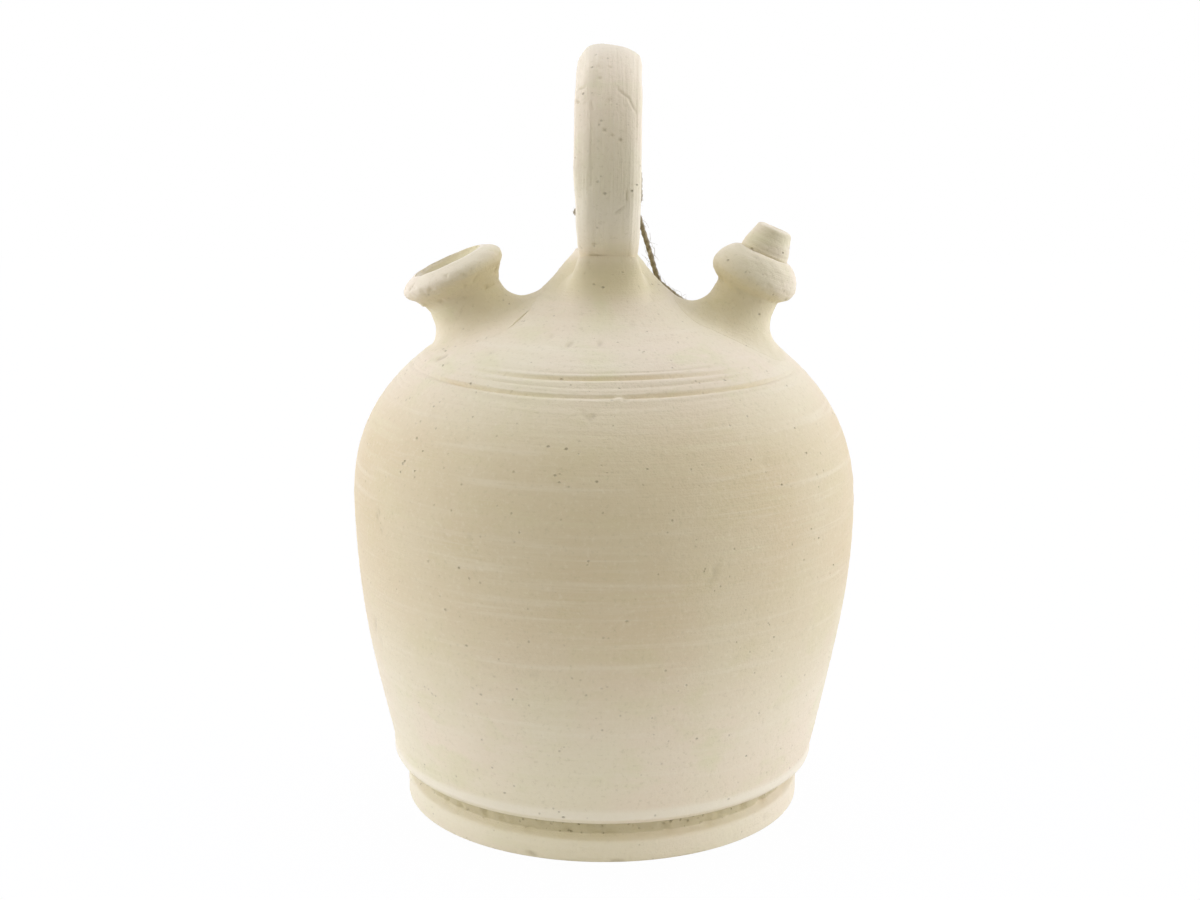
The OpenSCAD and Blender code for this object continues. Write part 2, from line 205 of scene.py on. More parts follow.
def grid_faces(rows: int, cols: int, wrap_rows: bool) -> tuple[Array, Array, Array, Array]:
    """Faces over a grid whose columns close into rings: quads, and a fan of triangles at each open end.

    Args:
        rows: Rows of the grid.
        cols: Columns of the grid.
        wrap_rows: Whether the last row joins the first, which leaves no open end.

    Returns:
        Quads and triangles as numbers of points, then the UV of their corners: the share of the rows
        and of the columns. The middles of both ends are numbered after the grid's own points.
    """
    index = np.arange(rows * cols).reshape(rows, cols)
    index = np.concatenate([index, index[:, :1]], axis=1)
    if wrap_rows:
        index = np.concatenate([index, index[:1]], axis=0)
    row_share = np.broadcast_to(np.linspace(0, 1, len(index))[:, None], index.shape)
    col_share = np.broadcast_to(np.linspace(0, 1, cols + 1), index.shape)
    quads, quad_rows, quad_cols = (
        np.stack([g[:-1, :-1], g[1:, :-1], g[1:, 1:], g[:-1, 1:]], axis=-1).reshape(-1, 4)
        for g in (index, row_share, col_share))
    quad_uv = np.stack([quad_rows, quad_cols], axis=-1)
    if wrap_rows:
        return quads, np.zeros((0, 3), int), quad_uv, np.zeros((0, 3, 2))
    first, last = index[0], index[-1]
    start = np.stack([np.full(cols, rows * cols), first[:-1], first[1:]], axis=1)
    end = np.stack([np.full(cols, rows * cols + 1), last[1:], last[:-1]], axis=1)
    fan_uv = np.zeros((2 * cols, 3, 2))
    fan_uv[cols:, :, 0] = 1
    return quads, np.concatenate([start, end]), quad_uv, fan_uv


def skin(name: str, points: Array, wrap_rows: bool = False, hollow_shade: Array | None = None) -> bpy.types.Object:
    """Closed mesh over a grid of points, with faces in the sense that gives a positive volume.

    Args:
        name: Name of the piece.
        points: Grid of points, rows by columns, whose columns close into rings.
        wrap_rows: Whether the last row joins the first, or else each end ring is closed by a fan.
        hollow_shade: How deep each point lies in a groove, from 0 to 1, kept for the finish as "dip", which
            darkens it there as painted shade.

    Returns:
        The new object, linked to the scene and at the origin.
    """
    quads, fans, uv, fan_uv = grid_faces(*points.shape[:2], wrap_rows)
    verts = points.reshape(-1, 3)
    if not wrap_rows:
        verts = np.concatenate([verts, points[:1].mean(axis=1), points[-1:].mean(axis=1)])
    a, b, c, d = (verts[quads[:, k]] for k in range(4))
    if np.einsum("ij,ij->", a, np.cross(b, c)) + np.einsum("ij,ij->", a, np.cross(c, d)) < 0:
        quads, uv = quads[:, ::-1], uv[:, ::-1]
        fans, fan_uv = fans[:, ::-1], fan_uv[:, ::-1]
    loops = np.concatenate([quads.ravel(), fans.ravel()]).astype(np.int32)
    sizes = np.concatenate([np.full(len(quads), 4), np.full(len(fans), 3)])
    starts = np.concatenate([[0], np.cumsum(sizes)[:-1]]).astype(np.int32)
    mesh = bpy.data.meshes.new(name)
    mesh.vertices.add(len(verts))
    mesh.vertices.foreach_set("co", verts.astype(np.float32).ravel())
    mesh.loops.add(len(loops))
    mesh.loops.foreach_set("vertex_index", loops)
    mesh.polygons.add(len(sizes))
    mesh.polygons.foreach_set("loop_start", starts)
    mesh.update(calc_edges=True)
    layer = mesh.uv_layers.new(name="surface")
    layer.data.foreach_set("uv", np.concatenate([uv.ravel(), fan_uv.ravel()]).astype(np.float32))
    if hollow_shade is not None:
        depth = mesh.attributes.new("hollow_shade", "FLOAT", "POINT")
        depth.data.foreach_set("value", np.resize(hollow_shade.astype(np.float32), len(verts)))
    mesh.validate()
    mesh.shade_smooth()
    mesh.set_sharp_from_angle(angle=math.radians(CRISP_DEG))
    piece = bpy.data.objects.new(name, mesh)
    bpy.context.scene.collection.objects.link(piece)
    return piece


def joined(name: str, pieces: list[bpy.types.Object]) -> bpy.types.Object:
    """Several pieces at the origin as one object: the first one, renamed, with all their meshes."""
    with bpy.context.temp_override(active_object=pieces[0], selected_editable_objects=pieces):
        bpy.ops.object.join()
    pieces[0].name = pieces[0].data.name = name
    return pieces[0]


def placed(piece: bpy.types.Object, slot: Slot, *nodes: str) -> bpy.types.Object:
    """A finished piece rides on the jar and stands for its CAD nodes.

    Args:
        piece: The finished piece.
        slot: The record's material slot. Not used.
        nodes: The CAD nodes that the piece stands for.

    Returns:
        The same piece.
    """
    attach(piece, "root")
    if nodes:
        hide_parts(*nodes)
    LOG.info("%s: %d faces", piece.name, len(piece.data.polygons))
    return piece


# Relief: what the wheel, fingers and wear leave on a surface

@dataclass(frozen=True)
class Ripple:
    """Smooth irregular height: a sum of cosines with whole waves round the ring and seeded phases."""

    seed: int
    waves: int
    turns: tuple[int, int]
    pitch: tuple[float, float]

    def height(self, angle: Array, along: Array) -> Array:
        """Height of the ripple.

        Args:
            angle: Angle round the ring, in radians.
            along: Length across the rings, in metres.

        Returns:
            Heights of about unit size.
        """
        rng = np.random.default_rng(self.seed)
        total = np.zeros(np.broadcast(angle, along).shape)
        for _ in range(self.waves):
            whole = rng.integers(self.turns[0], self.turns[1] + 1)
            length = math.exp(rng.uniform(*np.log(self.pitch)))
            total += np.cos(whole * angle + ROUND * along / length + rng.uniform(0, ROUND))
        return total / math.sqrt(self.waves / 2)


@dataclass(frozen=True)
class Mark:
    """A scratch, pit or crumb: a bell-shaped height, long or round, turned on the surface.

    Its place is an angle round the ring in degrees and a length across it. A positive rise is a
    crumb and a negative one a pit. A bow bends a long mark into an arc.
    """

    angle: float
    along: float
    rise: float
    long: float
    wide: float
    turn: float = 0.0
    bow: float = 0.0

    def bell(self, x: Array, y: Array) -> Array:
        """Height by lengths from the mark's middle: its rise times a bell that is flatter lengthwise.

        Args:
            x: Length round the ring.
            y: Length across it.

        Returns:
            The added height.
        """
        c, s = math.cos(math.radians(self.turn)), math.sin(math.radians(self.turn))
        run, side = c * x + s * y, c * y - s * x
        side = side - self.bow * (run / self.long) ** 2
        return self.rise * np.exp(-(run / self.long) ** 4 - (side / self.wide) ** 2)

    def height(self, angle: Array, along: Array, radius: Array) -> Array:
        """Height that the mark adds to a surface of rings.

        Args:
            angle: Angle round the ring, in radians.
            along: Length across the rings, in metres.
            radius: Radius of the ring, which turns the angle into a length.

        Returns:
            The added height.
        """
        span = (angle - math.radians(self.angle) + math.pi) % ROUND - math.pi
        return self.bell(span * radius, along - self.along)


@dataclass(frozen=True)
class TurnedLine:
    """A line turned round the pot: a groove and a small step below it, which drift in place and depth.

    It may fade towards both sides of the jar, between two sizes of the angle's sine.
    """

    at: float
    depth: float
    wide: float
    seed: int
    fade: tuple[float, float] | None = None

    def height(self, angle: Array, z: Array) -> Array:
        """Height of the line: less its depth times a bell, plus a fifth of a flatter bell below it."""
        drift = Ripple(self.seed, 6, (1, 5), (1.0, 2.0)).height(angle, z * 0)
        across = (z - self.at - 0.00015 * drift) / self.wide
        groove = np.exp(-across ** 2) - 0.2 * np.exp(-((across + 2.2) / 1.3) ** 2)
        height = -self.depth * (1 + 0.25 * drift) * groove
        if self.fade:
            height = height * (1 - 0.85 * smooth(np.abs(np.sin(angle)), *self.fade))
        return height


def scattered(seed: int, count: int, along: tuple[float, float], rise: tuple[float, float],
              size: tuple[float, float], stretch: float = 1.6, turn: float = 0.0) -> list[Mark]:
    """Seeded small marks spread evenly over a band.

    Args:
        seed: Seed of their places and sizes.
        count: How many there are.
        along: The band's lower and upper end.
        rise: Least and greatest rise.
        size: Least and greatest half width.
        stretch: Greatest share by which a mark is longer than wide.
        turn: Mean turn of the long marks, in degrees.

    Returns:
        The marks.
    """
    rng = np.random.default_rng(seed)
    found = []
    for _ in range(count):
        wide = rng.uniform(*size)
        found.append(Mark(rng.uniform(-180, 180), rng.uniform(*along), rng.uniform(*rise),
                          wide * rng.uniform(1, stretch), wide, turn + rng.uniform(-35, 35)))
    return found


def added(marks: list[Mark], angle: Array, along: Array, radius: Array) -> Array:
    """Heights of several marks together."""
    total = np.zeros(np.broadcast(angle, along).shape)
    for mark in marks:
        total += mark.height(angle, along, radius)
    return total


def in_marks(height: Array) -> Array:
    """How deep points lie in marks: the square of the depth, which is 1 from 0.6 mm on."""
    return np.clip(-height / 0.0006, 0, 1) ** 2


# Shader maths

class Value:
    """A socket of a node tree with arithmetic: an expression on values adds its Math nodes."""

    def __init__(self, tree: "Shading", socket: bpy.types.NodeSocket) -> None:
        """Wraps an output socket of the tree."""
        self.tree = tree
        self.socket = socket

    def _math(self, operation: str, *inputs: "Value | float") -> "Value":
        """One Math node on this value and others, or on the given inputs alone."""
        return self.tree.value("ShaderNodeMath", {"operation": operation}, dict(enumerate(inputs)))

    def __add__(self, other: "Value | float") -> "Value":
        """Sum."""
        return self._math("ADD", self, other)

    __radd__ = __add__

    def __sub__(self, other: "Value | float") -> "Value":
        """Difference."""
        return self._math("SUBTRACT", self, other)

    def __rsub__(self, other: float) -> "Value":
        """Difference from a number."""
        return self._math("SUBTRACT", other, self)

    def __mul__(self, other: "Value | float") -> "Value":
        """Product."""
        return self._math("MULTIPLY", self, other)

    __rmul__ = __mul__

    def size(self) -> "Value":
        """The value without its sign."""
        return self._math("ABSOLUTE", self)

    def raised(self, power: float) -> "Value":
        """The value to a power."""
        return self._math("POWER", self, power)

    def step(self, low: float, high: float) -> "Value":
        """Smooth step from 0 at low to 1 at high, which may be the lower one."""
        if low > high:
            return 1 - self.step(high, low)
        return self.tree.value("ShaderNodeMapRange", {"interpolation_type": "SMOOTHSTEP"},
                               {"Value": self, "From Min": low, "From Max": high})


Input = Value | float | tuple[float, ...]


class Shading:
    """A node tree with one method that makes any node, and short ones for those in common use."""

    def __init__(self, tree: bpy.types.NodeTree) -> None:
        """Wraps the tree of a material or of the world."""
        self.nodes = tree.nodes
        self.links = tree.links

    def node(self, kind: str, settings: dict[str, object],
             inputs: dict[str | int, Input]) -> bpy.types.Node:
        """Any node: its settings are set first, and then its sockets.

        Args:
            kind: The node's type.
            settings: Its properties by name.
            inputs: Numbers, colours or values by socket name or number.

        Returns:
            The new node.
        """
        made = self.nodes.new(kind)
        for key, setting in settings.items():
            setattr(made, key, setting)
        for key, given in inputs.items():
            socket = made.inputs[key]
            if isinstance(given, Value):
                self.links.new(given.socket, socket)
            else:
                wide = hasattr(socket.default_value, "__len__") and len(socket.default_value) == 4
                socket.default_value = (*given, 1.0) if wide and len(given) == 3 else given
        return made

    def value(self, kind: str, settings: dict[str, object] | None = None,
              inputs: dict[str | int, Input] | None = None, output: str | int = 0) -> Value:
        """An output of a new node, as a value."""
        return Value(self, self.node(kind, settings or {}, inputs or {}).outputs[output])

    def mix(self, share: Input, first: Input, second: Input) -> Value:
        """Colour between two, by the share of the second."""
        return self.value("ShaderNodeMix", {"data_type": "RGBA"}, {0: share, 6: first, 7: second}, output=2)

    def place(self, source: str = "Object") -> Value:
        """Coordinates: Object for places in the jar's frame, UV for along and across a piece."""
        return self.value("ShaderNodeTexCoord", output=source)

    def mapped(self, vector: Value, scale: tuple[float, float, float],
               move: tuple[float, float, float] = (0, 0, 0),
               turn_deg: tuple[float, float, float] = (0, 0, 0)) -> Value:
        """Coordinates moved, turned and scaled by a Mapping node."""
        return self.value("ShaderNodeMapping", {}, {
            "Vector": vector, "Scale": scale, "Location": move,
            "Rotation": tuple(math.radians(a) for a in turn_deg)})

    def noise(self, vector: Value, scale: float, detail: float, rough: float = 0.5,
              twist: float = 0.0) -> Value:
        """Noise of a given scale, from 0 to 1."""
        return self.value("ShaderNodeTexNoise", {}, {
            "Vector": vector, "Scale": scale, "Detail": detail, "Roughness": rough, "Distortion": twist})

    def cells(self, vector: Value, scale: float) -> Value:
        """Distance from the nearest of many scattered points, in cell widths."""
        return self.value("ShaderNodeTexVoronoi", {}, {"Vector": vector, "Scale": scale})

    def parts(self, vector: Value) -> tuple[Value, Value, Value]:
        """The three numbers of a vector."""
        made = self.node("ShaderNodeSeparateXYZ", {}, {0: vector})
        return tuple(Value(self, out) for out in made.outputs)

    def vector(self, x: Input, y: Input, z: Input) -> Value:
        """A vector from three numbers."""
        return self.value("ShaderNodeCombineXYZ", {}, {0: x, 1: y, 2: z})

    def tint(self, first: Input, second: Input, operation: str = "ADD") -> Value:
        """Two colours or vectors joined by a Vector Math operation."""
        return self.value("ShaderNodeVectorMath", {"operation": operation}, {0: first, 1: second})


class Finish(Shading):
    """A material, built from a base shader by name and the nodes that feed it."""

    def __init__(self, name: str) -> None:
        """An empty finish with its shader and output joined."""
        self.material = bpy.data.materials.new(name)
        self.material.use_nodes = True
        super().__init__(self.material.node_tree)
        self.shader = next(n for n in self.nodes if n.type == "BSDF_PRINCIPLED")

    def relief(self, height: Value, depth: float, strength: float) -> None:
        """Joins a height to the shader's Normal through a Bump node of the given depth in metres."""
        bump = self.value("ShaderNodeBump", {},
                          {"Height": height, "Distance": depth, "Strength": strength})
        self.links.new(bump.socket, self.shader.inputs["Normal"])

    def feeds(self, socket: str, given: Input) -> None:
        """Sets one of the shader's own sockets, or joins a value to it."""
        if isinstance(given, Value):
            self.links.new(given.socket, self.shader.inputs[socket])
        else:
            self.shader.inputs[socket].default_value = given


class Streaks(Enum):
    """The way that fine lines run over a clay piece."""

    WHEEL = "round the axis that the piece was thrown on"
    PULLED = "along the strap"
    SMEARED = "short smears of a wet finger"


@dataclass(frozen=True)
class Clay:
    """Finish of the pale unglazed clay: mottled cream with fine lines, specks and pores.

    The axis is the point and the lean about Y, in degrees, of the axis that the piece was thrown on.
    A leaning axis paints shade on the neck under its rim and in the bore inside bore_r, and a highlight
    on the rim. The groove gives the lower and upper height of the rough groove over the foot, and with it
    the tints of the pot from foot to handle, painted shade and a painted highlight among them.
    """

    name: str
    streaks: Streaks = Streaks.WHEEL
    axis_at: tuple[float, float, float] = (0.0, 0.0, 0.0)
    axis_lean_deg: float = 0.0
    groove: tuple[float, float] | None = None
    bore_r: float = 0.0
    cream: tuple[float, float, float] = (0.79, 0.712, 0.48)
    rosy: tuple[float, float, float] = (0.81, 0.695, 0.49)
    straw: tuple[float, float, float] = (0.745, 0.69, 0.42)
    pale: tuple[float, float, float] = (0.855, 0.785, 0.58)
    fired: tuple[float, float, float] = (0.67, 0.545, 0.30)
    olive: tuple[float, float, float] = (0.56, 0.49, 0.28)
    # A darker yellow that paints shade under the necks' rims, in their bores and in the corner under the
    # handle
    painted_shade: tuple[float, float, float] = (0.70, 0.62, 0.35)
    dark: tuple[float, float, float] = (0.36, 0.29, 0.16)

    def build(self) -> bpy.types.Material:
        """Makes the material.

        Returns:
            The material, whose colour, roughness and normal vary over the piece.
        """
        tree = Finish(self.name)
        place = tree.place()
        local = tree.mapped(place, (1, 1, 1), self._moved(), (0, -self.axis_lean_deg, 0))
        lines, fine = self._lines(tree, local)
        patch = tree.noise(tree.mapped(place, (1, 1, 1.7), (0.31, 0.17, 0.05)), 38.0, 4, 0.6, 0.4)
        grain = tree.noise(place, 1300.0, 3, 0.65)
        grit = tree.noise(place, 620.0, 3, 0.7)
        up = tree.parts(place)[2]
        body = self._ground(tree, place, up, patch)
        if self.axis_lean_deg:
            body = self._neck(tree, local, body)
        body = tree.mix(lines.step(0.50, 0.74) * 0.28, body, self.pale)
        body = tree.mix(lines.step(0.46, 0.28) * 0.22, body, self.straw)
        body = tree.mix(grit.step(0.54, 0.72) * 0.24, body, self.pale)
        body = tree.mix(grit.step(0.45, 0.29) * 0.30, body, self.olive)
        specks = tree.cells(place, 330.0).step(0.20, 0.08) * tree.noise(place, 210.0, 1).step(0.56, 0.66)
        # Pores: pressed in by the bump and darkened as painted shade
        pits = tree.cells(tree.mapped(place, (1, 1, 1.5)), 190.0).step(0.15, 0.06)
        pits = pits * tree.noise(place, 61.0, 2).step(0.56, 0.66)
        if self.groove:
            rough = self._in_groove(up)
            body = self._foot(tree, up, rough, grit, body)
            # More pores in the rough groove, also darkened as painted shade
            pits = pits + rough * tree.cells(place, 420.0).step(0.30, 0.12) * grit.step(0.45, 0.6)
        # Painted shade: darker in scratches, pits, chips and finger marks by how deep they lie
        hollow_shade = tree.value("ShaderNodeAttribute", {"attribute_name": "hollow_shade"}, output="Fac")
        body = tree.mix(hollow_shade * 0.36, body, self.dark)
        body = tree.mix(specks * 0.34, body, self.dark)
        body = tree.mix(pits * 0.55, body, self.dark)
        tree.feeds("Base Color", body)
        tree.feeds("Roughness", 0.82 + 0.12 * lines + 0.05 * grain)
        tree.feeds("Specular IOR Level", 0.45)
        height = (lines * 0.36 + fine * 0.34 + grain * 0.26 + grit * 0.42 + patch * 0.25
                  - specks * 0.45 - pits * 1.0)
        tree.relief(height, 0.00058, 0.9)
        return tree.material

    def _lines(self, tree: Finish, local: Value) -> tuple[Value, Value]:
        """Noise stretched the way that the clay was worked, once broad and once fine."""
        if self.streaks is Streaks.PULLED:
            uv = tree.place("UV")
            return (tree.noise(tree.mapped(uv, (9, 62, 1)), 1.0, 4, 0.6),
                    tree.noise(tree.mapped(uv, (26, 190, 1)), 1.0, 3, 0.65))
        if self.streaks is Streaks.WHEEL:
            return (tree.noise(tree.mapped(local, (14, 14, 330)), 1.0, 4, 0.62, 0.1),
                    tree.noise(tree.mapped(local, (55, 55, 1100)), 1.0, 3, 0.6, 0.1))
        return (tree.noise(tree.mapped(local, (90, 90, 160)), 1.0, 4, 0.6, 1.2),
                tree.noise(tree.mapped(local, (260, 260, 600)), 1.0, 3, 0.6, 0.6))

    def _ground(self, tree: Finish, place: Value, up: Value, patch: Value) -> Value:
        """Broad colour: rosy and straw patches, the belly's warmer band, and painted light on the strap's
        lower legs.
        """
        broad = tree.noise(place, 17.0, 3, 0.55)
        belly = up.step(0.035, 0.115) * up.step(0.190, 0.152)
        body = tree.mix(broad.step(0.42, 0.64) * 0.75, self.cream, self.rosy)
        body = tree.mix(patch.step(0.48, 0.70) * 0.7, body, self.straw)
        body = tree.mix(belly * (0.35 + 0.8 * broad) * 0.95, body, self.fired)
        if self.streaks is Streaks.PULLED:
            # Painted light: the strap paler low on its legs, as if lit from the dome below
            body = tree.mix(up.step(0.252, 0.236) * up.step(0.222, 0.231) * 0.65, body, self.pale)
        return body

    def _neck(self, tree: Finish, local: Value, body: Value) -> Value:
        """Tints of a neck: painted shade below its rim and in its bore, and a painted highlight on the
        rim's inner edge.
        """
        side, across, up = tree.parts(local)
        radius = (side * side + across * across).raised(0.5)
        # Painted shade under the rim and down the neck, and inside the bore
        neck = up.step(-0.001, -0.006) * up.step(-0.032, -0.018)
        bore = radius.step(self.bore_r + 0.0003, self.bore_r - 0.0002)
        body = tree.mix(neck * 0.35 + bore * 0.6, body, self.painted_shade)
        # Painted highlight on the rim's top beside the bore
        rim = radius.step(self.bore_r + 0.0018, self.bore_r + 0.0008) * up.step(0.0012, 0.0022)
        return tree.mix(rim * (1 - bore) * 0.6, body, self.pale)

    def _in_groove(self, up: Value) -> Value:
        """The rough groove over the foot."""
        low, high = self.groove
        return up.step(low - 0.0004, low + 0.0003) * up.step(high + 0.0006, high - 0.0002)

    def _foot(self, tree: Finish, up: Value, rough: Value, grit: Value, body: Value) -> Value:
        """Tints of the pot: painted shade under the handle, a darker rough groove that also holds painted
        shade under the lip, a paler ledge, and a painted highlight on the lip's bead.
        """
        low, high = self.groove
        # Painted shade: darker yellow round the dome's top, in the corner under the handle
        corner = up.step(0.203, 0.210) * up.step(0.2235, 0.2145)
        body = tree.mix(corner * 0.6, body, self.painted_shade)
        # The groove darker olive: the clay left rough there, and painted shade under the lip
        body = tree.mix(rough * (0.55 + 0.4 * grit), body, self.olive)
        # A paler ledge and foot below the groove, and a painted highlight on the lip's bead
        ledge = up.step(low + 0.0003, low - 0.0005)
        bead = up.step(high + 0.0028, high + 0.0040) * up.step(high + 0.0085, high + 0.0060)
        return tree.mix(ledge * 0.4 + bead * 0.8, body, self.pale)

    def _moved(self) -> tuple[float, float, float]:
        """Location of the Mapping node that brings the axis point to the origin after the turn back."""
        lean = math.radians(-self.axis_lean_deg)
        x, y, z = self.axis_at
        return (-(x * math.cos(lean) + z * math.sin(lean)), -y, -(z * math.cos(lean) - x * math.sin(lean)))


POT_CLAY = Clay("clay_vessel", groove=(0.0104, 0.0156))


@dataclass(frozen=True)
class Jute:
    """Finish of the twisted jute: dull straw and brown fibres that run with each ply."""

    name: str
    straw: tuple[float, float, float] = (0.45, 0.385, 0.22)
    brown: tuple[float, float, float] = (0.22, 0.17, 0.085)
    bleached: tuple[float, float, float] = (0.62, 0.55, 0.37)

    def build(self) -> bpy.types.Material:
        """Makes the material.

        Returns:
            The material, whose colour, roughness and normal vary along and across the twine.
        """
        tree = Finish(self.name)
        along, around, _ = tree.parts(tree.place("UV"))
        fibre = tree.noise(tree.vector(along * 46.0, around * 46.0 + along * 120.0, 0.0), 1.0, 4, 0.65)
        strand = tree.noise(tree.place(), 420.0, 3, 0.6)
        body = tree.mix(fibre.step(0.38, 0.62), self.brown, self.straw)
        body = tree.mix(strand.step(0.52, 0.72) * 0.6, body, self.bleached)
        # Painted shade: darker brown in the grooves between the plies
        hollow_shade = tree.value("ShaderNodeAttribute", {"attribute_name": "hollow_shade"}, output="Fac")
        body = tree.mix(hollow_shade * 0.75, body, self.brown)
        tree.feeds("Base Color", body)
        tree.feeds("Roughness", 0.78 + 0.15 * strand)
        tree.feeds("Sheen Weight", 0.25)
        tree.relief(fibre * 0.7 + strand * 0.3, 0.0003, 0.9)
        return tree.material


@dataclass(frozen=True)
class Card:
    """Finish of the uncoated card: off-white pulp with fibres and faint handling marks."""

    name: str
    pulp: tuple[float, float, float] = (0.80, 0.785, 0.735)
    shade: tuple[float, float, float] = (0.70, 0.675, 0.61)
    fleck: tuple[float, float, float] = (0.45, 0.41, 0.33)

    def build(self) -> bpy.types.Material:
        """Makes the material.

        Returns:
            The material, whose colour, roughness and normal vary over the card.
        """
        tree = Finish(self.name)
        place = tree.place()
        cloud = tree.noise(place, 90.0, 4, 0.6)
        fibre = tree.noise(tree.mapped(place, (1, 0.3, 1), turn_deg=(0, 0, 35)), 1400.0, 3, 0.7, 1.5)
        fleck = tree.cells(place, 700.0).step(0.10, 0.04) * tree.noise(place, 240.0, 1).step(0.6, 0.7)
        body = tree.mix(cloud.step(0.45, 0.75) * 0.6, self.pulp, self.shade)
        body = tree.mix(fleck * 0.7, body, self.fleck)
        tree.feeds("Base Color", body)
        tree.feeds("Roughness", 0.80 + 0.15 * fibre)
        tree.relief(fibre * 0.6 + cloud * 0.4, 0.00012, 0.7)
        return tree.material


@dataclass
class Dressing:
    """The finishes, each made once and shared by the pieces that have it."""

    made: dict[str, bpy.types.Material] = field(default_factory=dict)

    def on(self, piece: bpy.types.Object, finish: Clay | Jute | Card) -> None:
        """Puts a finish on a piece.

        Args:
            piece: A piece with no material yet.
            finish: Its finish. The name tells finishes apart.
        """
        if finish.name not in self.made:
            self.made[finish.name] = finish.build()
        piece.data.materials.clear()
        piece.data.materials.append(self.made[finish.name])


# The thrown pot and its dome

@dataclass
class Pot:
    """Shape of the whole thrown pot, which the vessel and the dome share.

    The outline is three smooth runs: from the lower lip to the belly, on to the shoulder line,
    and up the bell to the closed tip.
    """

    belly_r: float = 0.100
    belly_z: float = 0.125
    shoulder_r: float = 0.075
    shoulder_z: float = 0.179
    tip_r: float = 0.0116
    tip_z: float = 0.222
    lip_r: float = 0.0845
    lip_z: float = 0.0195
    wall: float = 0.007
    columns: int = 400
    rings: Ripple = Ripple(11, 30, (0, 1), (0.0016, 0.011))
    swell: Ripple = Ripple(12, 14, (1, 4), (0.05, 0.4))
    brush: Ripple = Ripple(13, 26, (3, 14), (0.0022, 0.009))
    ring_rise: float = 0.000035
    swell_rise: float = 0.0003
    brush_rise: float = 0.00002
    lines: tuple[TurnedLine, ...] = (
        TurnedLine(0.1808, 0.00036, 0.00034, 32, (0.54, 0.82)),
        TurnedLine(0.1849, 0.00022, 0.00030, 33, (0.54, 0.82)),
        TurnedLine(0.1830, 0.00080, 0.00056, 35, (0.54, 0.82)),
        TurnedLine(0.1780, 0.00130, 0.00056, 31, (0.70, 0.92)),
        TurnedLine(0.1692, 0.00006, 0.0005, 36),
        TurnedLine(0.0845, 0.00012, 0.0006, 37),
        TurnedLine(0.0742, 0.00012, 0.0005, 38),
    )
    marks: list[Mark] = field(default_factory=list)

    def __post_init__(self) -> None:
        """Gathers the marks that the photograph shows and small ones all round."""
        self.marks = [
            Mark(23.4, 0.1172, -0.0005, 0.0042, 0.0009, 74, 0.0004),
            Mark(21.9, 0.1135, -0.0003, 0.0022, 0.0008, 60),
            Mark(-14.8, 0.0792, -0.0008, 0.0011, 0.0008, 10),
            Mark(-58.1, 0.1277, -0.0006, 0.0030, 0.0011, 65),
            Mark(-56.5, 0.1225, -0.0005, 0.0020, 0.0010, 50),
            Mark(-66.5, 0.0798, -0.0006, 0.0042, 0.0011, 62),
            Mark(-64.0, 0.0740, -0.0004, 0.0028, 0.0010, 80),
            Mark(-3.1, 0.1717, -0.0005, 0.0020, 0.0010, 35),
            Mark(-5.0, 0.1727, -0.0004, 0.0016, 0.0009, -50),
            Mark(-28.7, 0.1295, -0.0004, 0.0018, 0.0009, 40),
            Mark(-14.9, 0.1927, -0.0005, 0.0014, 0.0009, 25),
            Mark(-2.0, 0.1929, -0.0005, 0.0011, 0.0009, 0),
            Mark(-63.6, 0.1838, -0.0006, 0.0022, 0.0010, 30),
            Mark(3.9, 0.1776, 0.0009, 0.0017, 0.0006, 4),
            Mark(5.6, 0.1770, -0.0006, 0.0010, 0.0006, 0),
            *scattered(21, 70, (0.03, 0.205), (-0.00035, -0.0001), (0.0008, 0.0013), 2.5),
            *scattered(22, 40, (0.03, 0.205), (0.00008, 0.0002), (0.0009, 0.0014), 1.8),
        ]

    def low_run(self) -> Array:
        """Bezier points from the lower lip to the belly."""
        return np.array([[self.lip_r, self.lip_z], [self.lip_r + 0.007, self.lip_z + 0.0305],
                         [self.belly_r, self.belly_z - 0.035], [self.belly_r, self.belly_z]])

    def high_run(self) -> Array:
        """Bezier points from the belly to the shoulder line."""
        return np.array([[self.belly_r, self.belly_z], [self.belly_r, self.belly_z + 0.025],
                         [self.shoulder_r + 0.0145, self.shoulder_z - 0.0123],
                         [self.shoulder_r, self.shoulder_z]])

    def bell_run(self) -> Array:
        """Bezier points from the shoulder line to the dome's tip."""
        return np.array([[self.shoulder_r, self.shoulder_z],
                         [self.shoulder_r - 0.0228, self.shoulder_z + 0.0195],
                         [self.tip_r + 0.0214, self.tip_z - 0.033], [self.tip_r, self.tip_z]])

    def top_z(self, reach: Array) -> Array:
        """Height of the outer surface over a distance from the axis, from the tip to the belly."""
        t = np.linspace(0, 1, 400)
        run = np.concatenate([bezier(self.high_run(), t), bezier(self.bell_run(), t)[1:]])[::-1]
        return np.interp(reach, run[:, 0], run[:, 1])

    def foot_on(self, start: Array, axis: Array) -> Array:
        """Length from start points back along an axis to the pot's outer surface, by bisection.

        Args:
            start: Points above the surface.
            axis: Unit vector away from the surface.

        Returns:
            Length below each start point at which the line meets the surface.
        """
        low, high = np.zeros(start.shape[:-1]), np.full(start.shape[:-1], 0.06)
        for _ in range(30):
            middle = (low + high) / 2
            at = start - middle[..., None] * axis
            above = at[..., 2] > self.top_z(np.hypot(at[..., 0], at[..., 1]))
            low, high = np.where(above, middle, low), np.where(above, high, middle)
        return (low + high) / 2

